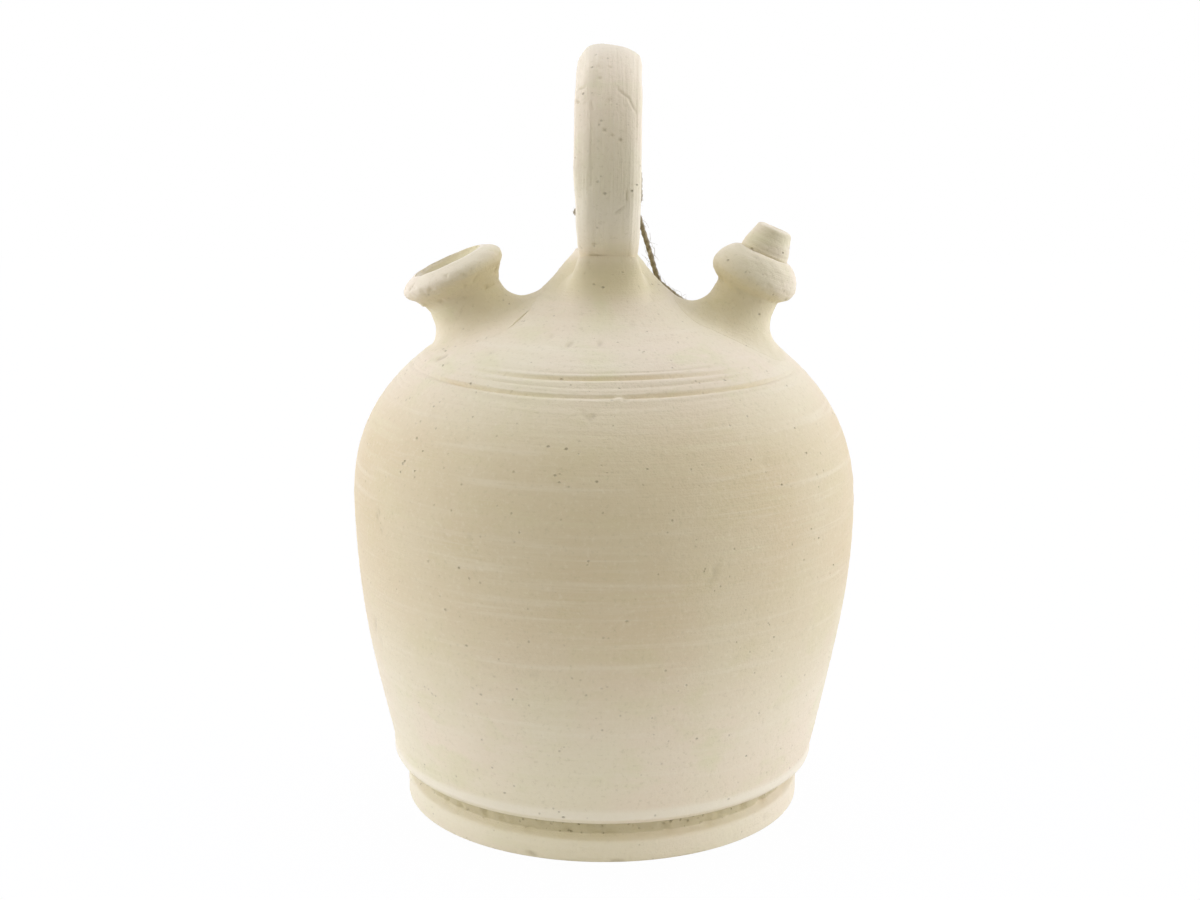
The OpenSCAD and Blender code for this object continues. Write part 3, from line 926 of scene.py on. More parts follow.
    def relief(self, angle: Array, z: Array, radius: Array) -> Array:
        """Height of the thrown surface over its smooth outline.

        It is the sum of the throwing rings, a slow swell, brushed lines, the turned lines and the marks.

        Args:
            angle: Angle round the pot from its front, in radians.
            z: Height above the floor.
            radius: Radius of the outline there.

        Returns:
            Heights along the outline's normal.
        """
        wander = z + 0.0004 * self.swell.height(angle, z * 0)
        rings = self.ring_rise * self.rings.height(angle, wander)
        swell = self.swell_rise * self.swell.height(angle, z)
        brush = self.brush_rise * self.brush.height(angle, wander)
        lines = sum(line.height(angle, z) for line in self.lines)
        return rings + swell + brush + lines + added(self.marks, angle, z, radius)

    def angles(self) -> Array:
        """Angles of the columns, starting at the back."""
        return np.linspace(-math.pi, math.pi, self.columns, endpoint=False)

    def on_top(self, points: Array) -> Array:
        """Points moved up or down onto the thrown surface, relief included.

        Args:
            points: Places over the shoulder or the dome.

        Returns:
            The same places with the height of the surface there.
        """
        reach = np.hypot(points[..., 0], points[..., 1])
        height = self.top_z(reach)
        height = height + self.relief(np.arctan2(points[..., 0], -points[..., 1]), height, reach)
        return np.concatenate([points[..., :2], height[..., None]], axis=-1)

    def inner_line(self) -> tuple[Array, Array]:
        """Heights and radii of the inner surface near the shoulder line, in order of height."""
        t = np.linspace(0, 1, 60)
        runs = [inset(bezier(run, t), self.wall) for run in (self.high_run(), self.bell_run())]
        line = np.concatenate(runs)
        order = np.argsort(line[:, 1])
        return line[order, 1], line[order, 0]

    def raised(self, outline: Array, weights: Array, outside: slice) -> tuple[Array, Array]:
        """A turned outline with the thrown relief on the rows that have a weight.

        Args:
            outline: Radius and height of each row.
            weights: Share of the relief on each row.
            outside: The rows of the outer surface, whose normals leave the others out.

        Returns:
            Grid of points, and how deep each lies in a mark.
        """
        angles = self.angles()
        r, z = outline[:, :1], outline[:, 1:]
        slope = np.gradient(outline, axis=0)
        slope[outside] = np.gradient(outline[outside], axis=0)
        normal = unit(np.stack([slope[:, 1], -slope[:, 0]], axis=1))
        height = weights[:, None] * self.relief(angles, z, r)
        marks = weights[:, None] * added(self.marks, angles, z, r)
        grid = polar(r, angles, z) + height[..., None] * polar(normal[:, :1], angles, normal[:, 1:])
        return grid, in_marks(marks)


def inset(run: Array, wall: float) -> Array:
    """An outline moved inwards by a wall, square to itself."""
    slope = np.gradient(run, axis=0)
    return run + wall * unit(np.stack([-slope[:, 1], slope[:, 0]], axis=1))


@dataclass
class Vessel:
    """The thrown pot below the shoulder line, with its floor and its turned foot."""

    pot: Pot
    foot_r: float = 0.080
    foot_h: float = 0.009
    foot_ring: float = 0.012
    hollow_h: float = 0.008
    groove_r: float = 0.076
    groove_top: float = 0.0152
    floor_z: float = 0.018

    def outline(self) -> tuple[Array, Array, slice]:
        """The closed outline, from the middle of the underside round to the middle of the floor.

        Returns:
            Radius and height of each row, the share of the thrown relief on it, and the outer rows.
        """
        pot = self.pot
        ring_r = self.foot_r - self.foot_ring
        foot = cornered([
            (0.004, self.hollow_h, 0), (ring_r - 0.002, self.hollow_h, 0.001),
            (ring_r, self.hollow_h - 0.002, 0.001), (ring_r, 0, 0.0006), (self.foot_r, 0, 0.0008),
            (self.foot_r, self.foot_h - 0.0006, 0.0010),
            (self.groove_r + 0.0008, self.foot_h + 0.0013, 0.0007),
            (self.groove_r + 0.0006, self.groove_top, 0.0009),
            (pot.lip_r - 0.0024, pot.lip_z - 0.0029, 0.0006),
            (pot.lip_r - 0.0001, pot.lip_z - 0.0015, 0.0009),
            (pot.lip_r + 0.0012, pot.lip_z + 0.0004, 0.0011),
            (pot.lip_r + 0.0009, pot.lip_z + 0.0024, 0.0009),
            (pot.lip_r + 0.0011, pot.lip_z + 0.0043, 0)], 0.0012)
        inner_part = foot[:np.argmax(foot[:, 0] > ring_r - 0.003)]
        foot = np.concatenate([inner_part[::6], foot[len(inner_part):]])
        t_low = np.linspace(0.055, 1, 74)
        t_high = np.concatenate([np.linspace(0, 0.80, 30)[1:], np.linspace(0.80, 1, 28)[1:]])
        outside = np.concatenate([bezier(pot.low_run(), t_low), bezier(pot.high_run(), t_high)])
        inside = np.concatenate([bezier(pot.low_run(), np.linspace(0, 1, 12)),
                                 bezier(pot.high_run(), np.linspace(0, 1, 12))[1:]])
        inside = inset(inside, pot.wall)[::-1]
        inside = inside[(inside[:, 1] > self.floor_z + 0.008) & (inside[:, 1] < pot.shoulder_z)]
        joint = np.array([[np.interp(pot.shoulder_z, *pot.inner_line()), pot.shoulder_z]])
        bottom = through([inside[-1], [0.0738, self.floor_z + 0.0028], [0.067, self.floor_z + 0.0003],
                          [0.05, self.floor_z], [0.004, self.floor_z]], 0.010)[1:]
        rows = np.concatenate([foot, outside, joint, inside, bottom])
        first, last = len(foot), len(foot) + len(outside)
        weights = np.zeros(len(rows))
        weights[first:last] = 1
        return rows, weights, slice(first, last)

    def build(self, dressing: Dressing) -> bpy.types.Object:
        """Makes the vessel.

        The foot's rows get a wheel-turned unevenness, the groove deep pores, and the foot's band the
        chips that the photograph shows.

        Args:
            dressing: The finishes.

        Returns:
            The piece.
        """
        rows, weights, outside = self.outline()
        grid, dips = self.pot.raised(rows, weights, outside)
        angles = self.pot.angles()
        z, r = rows[:, 1:], rows[:, :1]
        band = ((weights == 0) & (r[:, 0] > 0.0745) & (z[:, 0] < self.pot.lip_z + 0.0045))[:, None]
        lip = smooth(z, self.groove_top - 0.001, self.groove_top + 0.002)
        groove = smooth(z, self.foot_h - 0.0002, self.foot_h + 0.001) * (1 - lip)
        rough = Ripple(41, 40, (8, 90), (0.0015, 0.01)).height(angles, z)
        turned = Ripple(42, 16, (1, 6), (0.0015, 0.006)).height(angles, z)
        pores = added(scattered(43, 150, (0.0098, 0.0150), (-0.0012, -0.0003), (0.0006, 0.0014), 1.8),
                      angles, z, r)
        chips = added([
            Mark(-19.4, 0.0012, -0.0009, 0.0022, 0.0009, -12), Mark(4, 0.0005, -0.0006, 0.003, 0.0007),
            Mark(96, 0.001, -0.0007, 0.002, 0.0009), Mark(-131, 0.0012, -0.0008, 0.0024, 0.001),
            *scattered(44, 26, (0.0008, 0.0085), (-0.0004, -0.0001), (0.0006, 0.0011), 2.0)], angles, z, r)
        height = groove * (0.00012 * rough + pores) + 0.00005 * turned + (1 - groove) * (1 - lip) * chips
        height = height * band * smooth(z, -0.0001, 0.0008)
        grid = grid + height[..., None] * polar(1.0, angles, 0.0)
        piece = skin("vessel_body_clay", grid, hollow_shade=dips + in_marks(band * chips))
        dressing.on(piece, POT_CLAY)
        return placed(piece, Slot.CLAY, "vessel_body")


@dataclass(frozen=True)
class Neck:
    """Frame of a leaning neck: its Z axis runs up the neck, and its X axis lies in the jar's XZ plane."""

    reach: float
    z: float
    lean_deg: float

    def frame(self) -> tuple[Array, Array, Array, Array]:
        """Origin and the three axes of the neck's frame."""
        lean = math.radians(self.lean_deg)
        return (np.array([self.reach, 0.0, self.z]), np.array([math.cos(lean), 0.0, -math.sin(lean)]),
                np.array([0.0, 1.0, 0.0]), np.array([math.sin(lean), 0.0, math.cos(lean)]))

    def points(self, radius: Array, height: Array, angle: Array) -> Array:
        """Places of points given by radius, height up the neck and angle round it."""
        origin, side, across, up = self.frame()
        return (origin + (radius * np.cos(angle))[..., None] * side
                + (radius * np.sin(angle))[..., None] * across + (height + 0 * angle)[..., None] * up)


@dataclass
class Dome:
    """The closing dome, with the holes under both necks."""

    pot: Pot
    necks: tuple[tuple[Neck, float], ...]
    ceiling_step: float = 0.93

    def build(self, dressing: Dressing) -> bpy.types.Object:
        """Makes the dome: a turned shell, less a round hole under each neck.

        Args:
            dressing: The finishes.

        Returns:
            The piece.
        """
        pot = self.pot
        t = np.concatenate([np.linspace(0, 0.14, 36), np.linspace(0.14, 1, 128)[1:]])
        outside = bezier(pot.bell_run(), t)
        inside = inset(bezier(pot.bell_run(), np.linspace(0, self.ceiling_step, 26)), pot.wall)[::-1]
        inside = inside[inside[:, 1] > pot.shoulder_z]
        joint = np.array([[np.interp(pot.shoulder_z, *pot.inner_line()), pot.shoulder_z]])
        top = np.array([[0.008, pot.tip_z], [0.0008, pot.tip_z]])
        ceiling = np.array([[0.0008, inside[0, 1] + 0.0015], [inside[0, 0] * 0.5, inside[0, 1] + 0.001]])
        rows = np.concatenate([joint, outside, top, ceiling, inside])
        weights = np.zeros(len(rows))
        weights[1:1 + len(outside)] = smooth(outside[:, 1], pot.tip_z - 0.001, pot.tip_z - 0.006)
        grid, dips = pot.raised(rows, weights, slice(1, 1 + len(outside)))
        piece = skin("shoulder_dome_clay", grid, wrap_rows=True, hollow_shade=dips)
        piece = self.drilled(piece)
        dressing.on(piece, POT_CLAY)
        return placed(piece, Slot.CLAY, "shoulder_dome")

    def drilled(self, piece: bpy.types.Object) -> bpy.types.Object:
        """Cuts the holes with one Boolean modifier each, and keeps the result as the piece's mesh.

        Args:
            piece: The shell.

        Returns:
            The same object with the cut mesh.
        """
        drills = []
        for neck, radius in self.necks:
            angles = np.linspace(0, ROUND, 64, endpoint=False)
            grid = neck.points(np.full((2, 64), radius), np.array([[-0.047], [-0.009]]), angles[None, :])
            drills.append(skin("drill", grid))
            cut = piece.modifiers.new("hole", "BOOLEAN")
            cut.operation, cut.solver, cut.object = "DIFFERENCE", "MANIFOLD", drills[-1]
        graph = bpy.context.evaluated_depsgraph_get()
        shell = bpy.data.meshes.new_from_object(piece.evaluated_get(graph))
        piece.modifiers.clear()
        piece.data = shell
        for drill in drills:
            bpy.data.objects.remove(drill)
        shell.set_sharp_from_angle(angle=math.radians(CRISP_CUT_DEG))
        return piece


@dataclass
class Spout:
    """A thrown neck that stands on the dome: its outer profile, its rim or collar, and its bore.

    Both profiles are radius and height up the neck. The outer one starts above the neck's foot, and the
    rows below it are stretched down to the dome's surface.
    """

    name: str
    node: str
    neck: Neck
    outer: list[tuple[float, float]]
    bore: list[tuple[float, float]]
    foot_r: float
    bore_r: float
    columns: int = 256
    spacing: float = 0.00055
    seed: int = 0
    marks: list[Mark] = field(default_factory=list)
    sway: float = 0.00005
    bend: float = 0.0
    nod: float = 0.0
    seat_rows: int = 13
    deep_rows: int = 11

    def build(self, pot: Pot, dressing: Dressing) -> bpy.types.Object:
        """Makes the neck as one closed surface: up the outside, over the rim and down the bore.

        Args:
            pot: The pot that the neck stands on.
            dressing: The finishes.

        Returns:
            The piece.
        """
        angles = np.linspace(0, ROUND, self.columns, endpoint=False)[None, :]
        up = self.neck.frame()[3]
        rise = through(self.outer, self.spacing)
        fall = through(self.bore, self.spacing * 2)
        wall = np.concatenate([rise, fall])
        r, w = wall[:, :1], wall[:, 1:]
        r_outer = np.linspace(self.foot_r, rise[0, 0], self.seat_rows + 1)[:-1, None]
        top = self.neck.points(np.full((1, self.columns), self.foot_r), np.full((1, 1), rise[0, 1]), angles)
        foot_w = rise[0, 1] - pot.foot_on(top, up)
        share = np.linspace(0, 1, self.seat_rows + 1)[:-1, None]
        lower = self.neck.points(r_outer + 0 * angles, foot_w * (1 - share) + rise[0, 1] * share, angles)
        deep = self.neck.points(np.full((1, self.columns), self.bore_r), np.full((1, 1), fall[-1, 1]),
                                angles)
        bore_w = fall[-1, 1] - pot.foot_on(deep, up)
        share = np.linspace(0, 1, self.deep_rows + 1)[1:, None]
        inner_w = fall[-1, 1] * (1 - share) + bore_w * share
        inner = self.neck.points(self.bore_r + 0 * angles + 0 * share, inner_w, angles)
        middle = self.neck.points(r + 0 * angles, w, angles)
        side = self.neck.frame()[1] * math.copysign(self.bend, self.neck.reach)
        upper = smooth(w, -0.012, -0.003)[..., None]
        middle = middle + upper * (side + self.nod * middle[..., 1:2] * up)
        grid = np.concatenate([lower, middle, inner])
        seat, deep = np.ones(self.seat_rows), np.ones(self.deep_rows)
        along = np.concatenate([rise[0, 1] * seat, wall[:, 1], fall[-1, 1] * deep])
        radius = np.concatenate([self.foot_r * seat, wall[:, 0], self.bore_r * deep])
        outside = np.concatenate([np.linspace(0, 1, self.seat_rows), np.ones(len(rise)),
                                  smooth(np.arange(len(fall)), 6, 0), 0 * deep])
        height = outside[:, None] * self.relief(angles, along[:, None], radius[:, None])
        grid = grid + height[..., None] * outward(grid)
        piece = skin(self.name, grid, wrap_rows=True)
        dressing.on(piece, Clay("clay_" + self.node, Streaks.WHEEL, (self.neck.reach, 0.0, self.neck.z),
                                self.neck.lean_deg, bore_r=self.outer[-1][0] - 0.0003))
        return placed(piece, Slot.CLAY, self.node)

    def relief(self, angles: Array, along: Array, radius: Array) -> Array:
        """Height over the smooth profile: a slow sway, turned rings, finger lumps and the marks."""
        sway = self.sway * Ripple(self.seed, 10, (1, 3), (0.02, 0.1)).height(angles, along)
        rings = 0.00003 * Ripple(self.seed + 1, 16, (0, 2), (0.0012, 0.006)).height(angles, along)
        lumps = 0.00004 * Ripple(self.seed + 2, 30, (3, 16), (0.003, 0.02)).height(angles, along)
        return sway + rings + lumps + added(self.marks, angles, along, radius)


@dataclass
class Skirt:
    """The coil of clay that is smoothed from a neck onto the dome.

    Each column is a cubic Hermite curve that leaves the neck along it and meets the dome along its slope.
    The edge stands proud by the field edge, and by open_rise more over open_span degrees about open_at.
    """

    name: str
    node: str
    neck: Neck
    neck_r: float
    top_w: float
    edge_mm: dict[float, float]
    columns: int = 320
    rows: int = 70
    seed: int = 0
    edge: float = 0.00006
    tuck: float = 0.0009
    leave: float = 1.35
    arrive: float = 1.25
    open_at: float = 310.0
    open_span: float = 11.0
    open_rise: float = 0.0
    probe_up: float = 0.02
    under_rows: int = 10
    inner_rows: int = 8

    def reach(self, angles: Array) -> Array:
        """Radius of the skirt's edge round the neck: the given ones, kept to their first seven waves."""
        size = np.degrees(np.abs((angles + math.pi) % ROUND - math.pi))
        edge = np.interp(size, list(self.edge_mm), list(self.edge_mm.values())) * 0.001
        waves = np.fft.rfft(edge)
        waves[8:] = 0
        uneven = Ripple(self.seed, 12, (2, 9), (1.0, 2.0)).height(angles, angles * 0)
        return np.fft.irfft(waves, len(angles)) + 0.0003 * uneven

    def build(self, pot: Pot, dressing: Dressing) -> bpy.types.Object:
        """Makes the skirt as one closed ring: down the curve, back along the dome and up the neck.

        Args:
            pot: The pot under it.
            dressing: The finishes.

        Returns:
            The piece.
        """
        angles = np.linspace(0, ROUND, self.columns, endpoint=False)
        origin, side, across, up = self.neck.frame()
        out = np.cos(angles)[:, None] * side + np.sin(angles)[:, None] * across
        start = origin + self.neck_r * out + self.top_w * up
        high = origin + self.reach(angles)[:, None] * out + self.probe_up * up
        bare = high - pot.foot_on(high, up)[:, None] * up
        end = pot.on_top(bare)
        further = high + SLOPE_STEP * out
        slope = unit(further - pot.foot_on(further, up)[:, None] * up - bare)
        span = np.linalg.norm(end - start, axis=1)[:, None]
        rise = np.array([0.0, 0.0, 1.0])
        off = (np.degrees(angles) - self.open_at) / self.open_span
        lip = self.edge + self.open_rise * np.exp(-off ** 4)
        t = (np.linspace(0, 1, self.rows) ** 0.9)[:, None, None]
        curve = hermite(start + 0.00008 * out, -up * span * self.leave, end + lip[:, None] * rise,
                        slope * span * self.arrive, t)
        under = end + 0.0006 * slope - self.tuck * rise
        foot = start - up * pot.foot_on(start, up)[:, None] - 0.0004 * up
        back = under + np.linspace(0, 1, self.under_rows)[:, None, None] * (foot - under)
        back[1:-1, :, 2] -= 0.002
        inner_share = np.linspace(0, 1, self.inner_rows)[1:, None, None]
        inner = foot + inner_share * (start - 0.0003 * out - foot)
        grid = np.concatenate([curve, back, inner])
        share = np.concatenate([t[:, 0, 0], np.full(len(back) + len(inner), -1.0)])
        weight = np.where(share < 0, 0, smooth(share, -0.02, 0.12) * smooth(share, 1.02, 0.9))[:, None]
        along = share[:, None] * span.mean()
        lumps = 0.00006 * Ripple(self.seed + 1, 26, (1, 6), (0.006, 0.03)).height(angles[None, :], along)
        grid = grid + (weight * lumps)[..., None] * outward(grid)
        piece = skin(self.name, grid, wrap_rows=True)
        dressing.on(piece, Clay("clay_" + self.node, Streaks.SMEARED, (self.neck.reach, 0.0, self.neck.z),
                                self.neck.lean_deg))
        return placed(piece, Slot.CLAY, self.node)


@dataclass
class Nib:
    """The small cone on the collar, with the hole that the jet comes from."""

    neck: Neck
    seat_w: float = 0.0071
    edge_w: float = 0.0088
    base_r: float = 0.0097
    top_r: float = 0.0068
    height: float = 0.0125
    jet_r: float = 0.00225
    columns: int = 180

    def build(self, dressing: Dressing) -> bpy.types.Object:
        """Makes the nib: a cone with a crisp foot, a softly rounded top and a slightly flared hole.

        Args:
            dressing: The finishes.

        Returns:
            The piece.
        """
        low, high = self.seat_w, self.seat_w + self.height
        rows = cornered([
            (self.jet_r, low, 0), (self.base_r - 0.0004, low, 0.0002), (self.base_r, self.edge_w, 0.0006),
            (self.base_r - 0.0004, self.edge_w + 0.0034, 0.0012),
            (self.top_r + 0.0009, high - 0.0035, 0.002), (self.top_r + 0.0001, high - 0.0006, 0.0007),
            (self.top_r - 0.0014, high + 0.00005, 0.0008), (self.jet_r + 0.0007, high, 0.0005),
            (self.jet_r, high - 0.0012, 0.0006), (self.jet_r, low, 0)], 0.00035)[:-1]
        angles = np.linspace(0, ROUND, self.columns, endpoint=False)[None, :]
        grid = self.neck.points(rows[:, :1] + 0 * angles, rows[:, 1:], angles)
        outside = (rows[:, :1] > self.jet_r + 0.002) & (rows[:, 1:] > low + 0.0002)
        rings = 0.000028 * Ripple(71, 14, (0, 2), (0.001, 0.004)).height(angles, rows[:, 1:])
        sway = 0.00012 * Ripple(72, 8, (1, 4), (0.01, 0.05)).height(angles, rows[:, 1:])
        grid = grid + (outside * (rings + sway))[..., None] * outward(grid)
        piece = skin("spout_nib_clay", grid, wrap_rows=True)
        dressing.on(piece, Clay("clay_spout_nib", Streaks.WHEEL, (self.neck.reach, 0.0, self.neck.z),
                                self.neck.lean_deg))
        return placed(piece, Slot.CLAY, "spout_nib")


# The handle

@dataclass
class Handle:
    """The ring handle: a strap pulled from clay, bent round and set on the dome's tip.

    The ring stands in the YZ plane. Its angle runs from the top over the front, and the strap's
    section is given by how far it reaches across and out from the ring's centre line. Its outer face
    lies out from that line by about the field face.
    """

    ring_r: float = 0.0355
    ring_z: float = 0.2572
    end_gap: float = 0.012
    face: float = 0.0085
    columns: int = 160
    rows: int = 560
    marks: list[Mark] = field(default_factory=list)

    def __post_init__(self) -> None:
        """Gathers the finger marks that the photograph shows on the outside face."""
        self.marks = [
            Mark(6.2, 53.2, -0.00035, 0.0032, 0.00045, 38, -0.0004),
            Mark(9.6, 58.6, -0.00035, 0.0032, 0.00045, 62),
            Mark(-8.8, 47.5, -0.0005, 0.0015, 0.0005, 30), Mark(-10.6, 54.0, -0.0008, 0.0013, 0.0006, 60),
            Mark(7.6, 104.5, -0.0004, 0.0024, 0.00045, 88), Mark(5.2, 111.4, -0.0004, 0.0024, 0.00045, 140),
            Mark(-9.5, 143.0, -0.0006, 0.0009, 0.0007), Mark(-3.8, 133.6, -0.0005, 0.0008, 0.0006),
            Mark(0.5, 150.8, -0.00045, 0.0050, 0.0005, 2), Mark(7.0, 150.5, -0.0003, 0.0030, 0.0004, -3),
            Mark(-0.3, 72.6, -0.0005, 0.0006, 0.0005), Mark(5.2, 77.3, -0.0005, 0.0007, 0.0005),
            Mark(2.4, 75.0, -0.0004, 0.0005, 0.0004), Mark(-2.2, 44.0, -0.0004, 0.0007, 0.0005),
            Mark(1.6, 36.0, -0.0004, 0.0006, 0.0005), Mark(-5.0, 60.0, -0.0003, 0.0022, 0.0005, 80),
        ]

    def section(self, turn: Array) -> Array:
        """The strap's section at each angle round the ring.

        Its corners, in millimetres, move with the angle: the strap is widest on the legs, narrows to its
        ends, and leans a little to one side at the top. They are cut and cut again, which leaves facets
        with round edges.

        Args:
            turn: Angles round the ring from its top, in radians.

        Returns:
            How far across and how far out, angles by columns by two.
        """
        stations = [-3.05, -2.5, -math.pi / 2, -0.9, -0.35, 0.0, 0.35, 0.9, math.pi / 2, 2.5, 3.05]
        sizes = {
            "right": [11.6, 12.2, 12.8, 13.2, 13.6, 13.7, 13.7, 13.5, 13.3, 13.2, 12.6],
            "left": [10.6, 10.8, 11.2, 11.2, 11.0, 10.9, 11.1, 11.6, 11.9, 10.6, 10.2],
            "flat_right": [5.5, 6.3, 7.4, 7.0, 6.0, 5.2, 5.8, 7.4, 8.6, 8.6, 7.8],
            "flat_left": [5.0, 5.4, 5.2, 5.4, 5.7, 5.9, 5.6, 5.2, 4.8, 4.6, 4.4],
            "crown_right": [8.3, 8.4, 8.4, 8.2, 8.0, 8.0, 8.0, 8.2, 8.5, 8.4, 8.3],
            "crown_left": [8.3, 8.4, 8.5, 8.6, 8.7, 8.7, 8.7, 8.6, 8.5, 8.4, 8.3],
            "low_right": [4.2, 4.4, 5.0, 4.9, 4.7, 4.6, 4.7, 4.9, 5.0, 4.4, 4.2],
            "low_left": [4.6, 4.8, 4.4, 4.2, 3.9, 3.8, 3.9, 4.2, 4.4, 4.8, 4.6],
        }
        at = {name: np.interp(turn, stations, values) for name, values in sizes.items()}
        right, left, low_right, low_left = at["right"], at["left"], at["low_right"], at["low_left"]
        side_in, bevel_in, face_in = -2.8, -7.4, -8.5
        pairs = [(-at["flat_left"], at["crown_left"]), (at["flat_right"], at["crown_right"]),
                 (right - 1.1, low_right), (right, low_right + side_in), (right, side_in),
                 (right - 3.2, bevel_in), (right - 7.0, face_in), (7.0 - left, face_in),
                 (3.2 - left, bevel_in), (-left, side_in), (-left, low_left + side_in),
                 (1.3 - left, low_left)]
        corners = MM * np.stack([np.stack([x, y + 0 * x], axis=-1) for x, y in pairs], axis=1)
        for cut in (0.28, 0.25, 0.25, 0.25):
            ahead = np.roll(corners, -1, axis=1)
            both = np.stack([corners * (1 - cut) + ahead * cut, corners * cut + ahead * (1 - cut)], axis=2)
            corners = both.reshape(len(turn), -1, 2)
        return self.even(corners)

    def even(self, rings: Array) -> Array:
        """Section rings resampled at even lengths, from the middle of the inside face round."""
        start = np.argmin(np.abs(rings[0, :, 0]) + (rings[0, :, 1] > 0))
        rings = np.roll(rings, -start, axis=1)
        closed = np.concatenate([rings, rings[:, :1]], axis=1)
        step = np.linalg.norm(np.diff(closed, axis=1), axis=2).mean(axis=0)
        along = np.concatenate([[0.0], np.cumsum(step)])
        even = np.linspace(0, along[-1], self.columns + 1)[:-1]
        place = np.searchsorted(along, even, side="right") - 1
        share = ((even - along[place]) / step[place])[None, :, None]
        return closed[:, place] * (1 - share) + closed[:, place + 1] * share

    def by_strap(self, across: Array, out: Array, turn: Array) -> Array:
        """Places in the jar's frame, by across the strap, out from its centre line and the angle."""
        reach = self.ring_r + out
        return np.stack([across, -reach * np.sin(turn), self.ring_z + reach * np.cos(turn)], axis=-1)

    def build(self, dressing: Dressing) -> bpy.types.Object:
        """Makes the handle: the section carried round the ring, with finger lumps, streaks and marks.

        Args:
            dressing: The finishes.

        Returns:
            The piece.
        """
        end = math.pi - math.asin(self.end_gap / 2 / self.ring_r)
        turn = np.linspace(-end, end, self.rows)
        section = self.section(turn)
        across, out = section[..., 0], section[..., 1]
        closed = np.concatenate([section, section[:, :1]], axis=1)
        step = np.linalg.norm(np.diff(closed, axis=1), axis=2).mean(axis=0)
        perimeter = step.sum()
        ring_angle = ROUND * np.concatenate([[0.0], np.cumsum(step)[:-1]]) / perimeter
        along = (turn * (self.ring_r + self.face))[:, None]
        lumps = 0.00010 * Ripple(51, 22, (1, 5), (0.018, 0.08)).height(ring_angle, along)
        streaks = 0.00004 * Ripple(52, 40, (10, 60), (0.03, 0.2)).height(ring_angle, along)
        pocks = added(scattered(53, 90, (-0.09, 0.09), (-0.0003, -0.0001), (0.0005, 0.0010), 2.2),
                      ring_angle[None, :], along, np.full((1, 1), perimeter / ROUND))
        fingers = self._finger_marks(across, out, turn)
        height = lumps + streaks + pocks + fingers
        tangent = np.roll(section, -1, axis=1) - np.roll(section, 1, axis=1)
        normal = unit(np.stack([tangent[..., 1], -tangent[..., 0]], axis=-1))
        sense = np.sign(np.einsum("ijk,ijk->", normal, section))
        moved = section + sense * height[..., None] * normal
        grid = self.by_strap(moved[..., 0], moved[..., 1], turn[:, None])
        piece = skin("handle_clay", grid, hollow_shade=in_marks(fingers))
        dressing.on(piece, Clay("clay_handle", Streaks.PULLED))
        return placed(piece, Slot.CLAY, "handle")

    def _finger_marks(self, across: Array, out: Array, turn: Array) -> Array:
        """Marks on the outside face, placed by millimetres across and degrees round the ring."""
        total = np.zeros(across.shape)
        for mark in self.marks:
            y = (turn - math.radians(mark.along)) * (self.ring_r + self.face)
            total += mark.bell(across - mark.angle * MM, y[:, None])
        return total * (out > 0)


@dataclass
class HandleCoil:
    """The wad of clay in the corner under one end of the handle, smoothed onto the dome.

    Its upper edge is given by one half: across as a share of the left or right width, out from the
    jar's axis and up, both in millimetres.
    """

    name: str
    node: str
    side_deg: float
    pot: Pot
    half_span_deg: float = 62.0
    left: float = 10.6
    right: float = 12.9
    half: tuple[tuple[float, float, float], ...] = (
        (0, 27.05, 222.6), (0.35, 26.8, 222.6), (0.62, 25.9, 222.5), (0.82, 24.2, 222.0),
        (0.96, 21.6, 221.0), (1.01, 18.0, 218.7), (1.0, 12.4, 215.6))
    edge_r: float = 0.0345
    edge_draw: float = 0.0155
    columns: int = 161
    rows: int = 60
    back_rows: int = 16
    seed: int = 0

    def build(self, dressing: Dressing) -> bpy.types.Object:
        """Makes the wad: over angles round the jar's axis, a Hermite curve from the strap to the dome.

        The curves start on a line that follows the strap's outside face and turns round its corners to
        both sides, and they meet the dome along its slope, so that no edge shows.

        Args:
            dressing: The finishes.

        Returns:
            The piece.
        """
        share = np.linspace(-1, 1, self.columns)
        half = np.array(self.half)
        wide = np.concatenate([half[:0:-1] * (-self.left, -1, 1), half * (self.right, -1, 1)])
        start = spread(wide * MM, self.columns)
        angle = share * math.radians(self.half_span_deg)
        edge = self.edge_r - self.edge_draw * np.abs(share) ** 2.2
        flat = polar(edge, angle, self.pot.top_z(edge))
        end = self.pot.on_top(flat)
        ahead = edge + SLOPE_STEP
        slope = polar(ahead, angle, self.pot.top_z(ahead)) - flat
        leave = unit(np.stack([0.5 * share, 0.6 - 0.6 * share ** 2, -0.8 - 0.2 * share ** 2], axis=-1))
        distance = np.linalg.norm(end - start, axis=1)[:, None]
        t = np.linspace(0, 1, self.rows)[:, None, None]
        curve = hermite(start, leave * distance * 0.9, end - np.array([0, 0, 0.00008]),
                        unit(slope) * distance * 1.25, t)
        along = t[:, 0] * distance.mean()
        lumps = 0.00004 * Ripple(self.seed, 20, (1, 4), (0.008, 0.03)).height(
            share[None, :] * math.pi, along)
        curve[..., 1] -= lumps * smooth(t[..., 0], 0, 0.2) * smooth(t[..., 0], 1, 0.8)
        deep = np.stack([0.6 * start[:, 0], 0 * share - 0.007, 0 * share + self.pot.tip_z - 0.004], axis=-1)
        sunk = curve[-1] - np.array([0, 0, 0.0012])
        back = sunk + np.linspace(0, 1, self.back_rows)[:, None, None] * (deep - curve[-1])
        grid = np.concatenate([curve, back])
        c, s = math.cos(math.radians(self.side_deg)), math.sin(math.radians(self.side_deg))
        grid = grid @ np.array([[c, s, 0], [-s, c, 0], [0, 0, 1]])
        piece = skin(self.name, grid.transpose(1, 0, 2))
        dressing.on(piece, POT_CLAY)
        return placed(piece, Slot.CLAY, self.node)


# Twine and tag

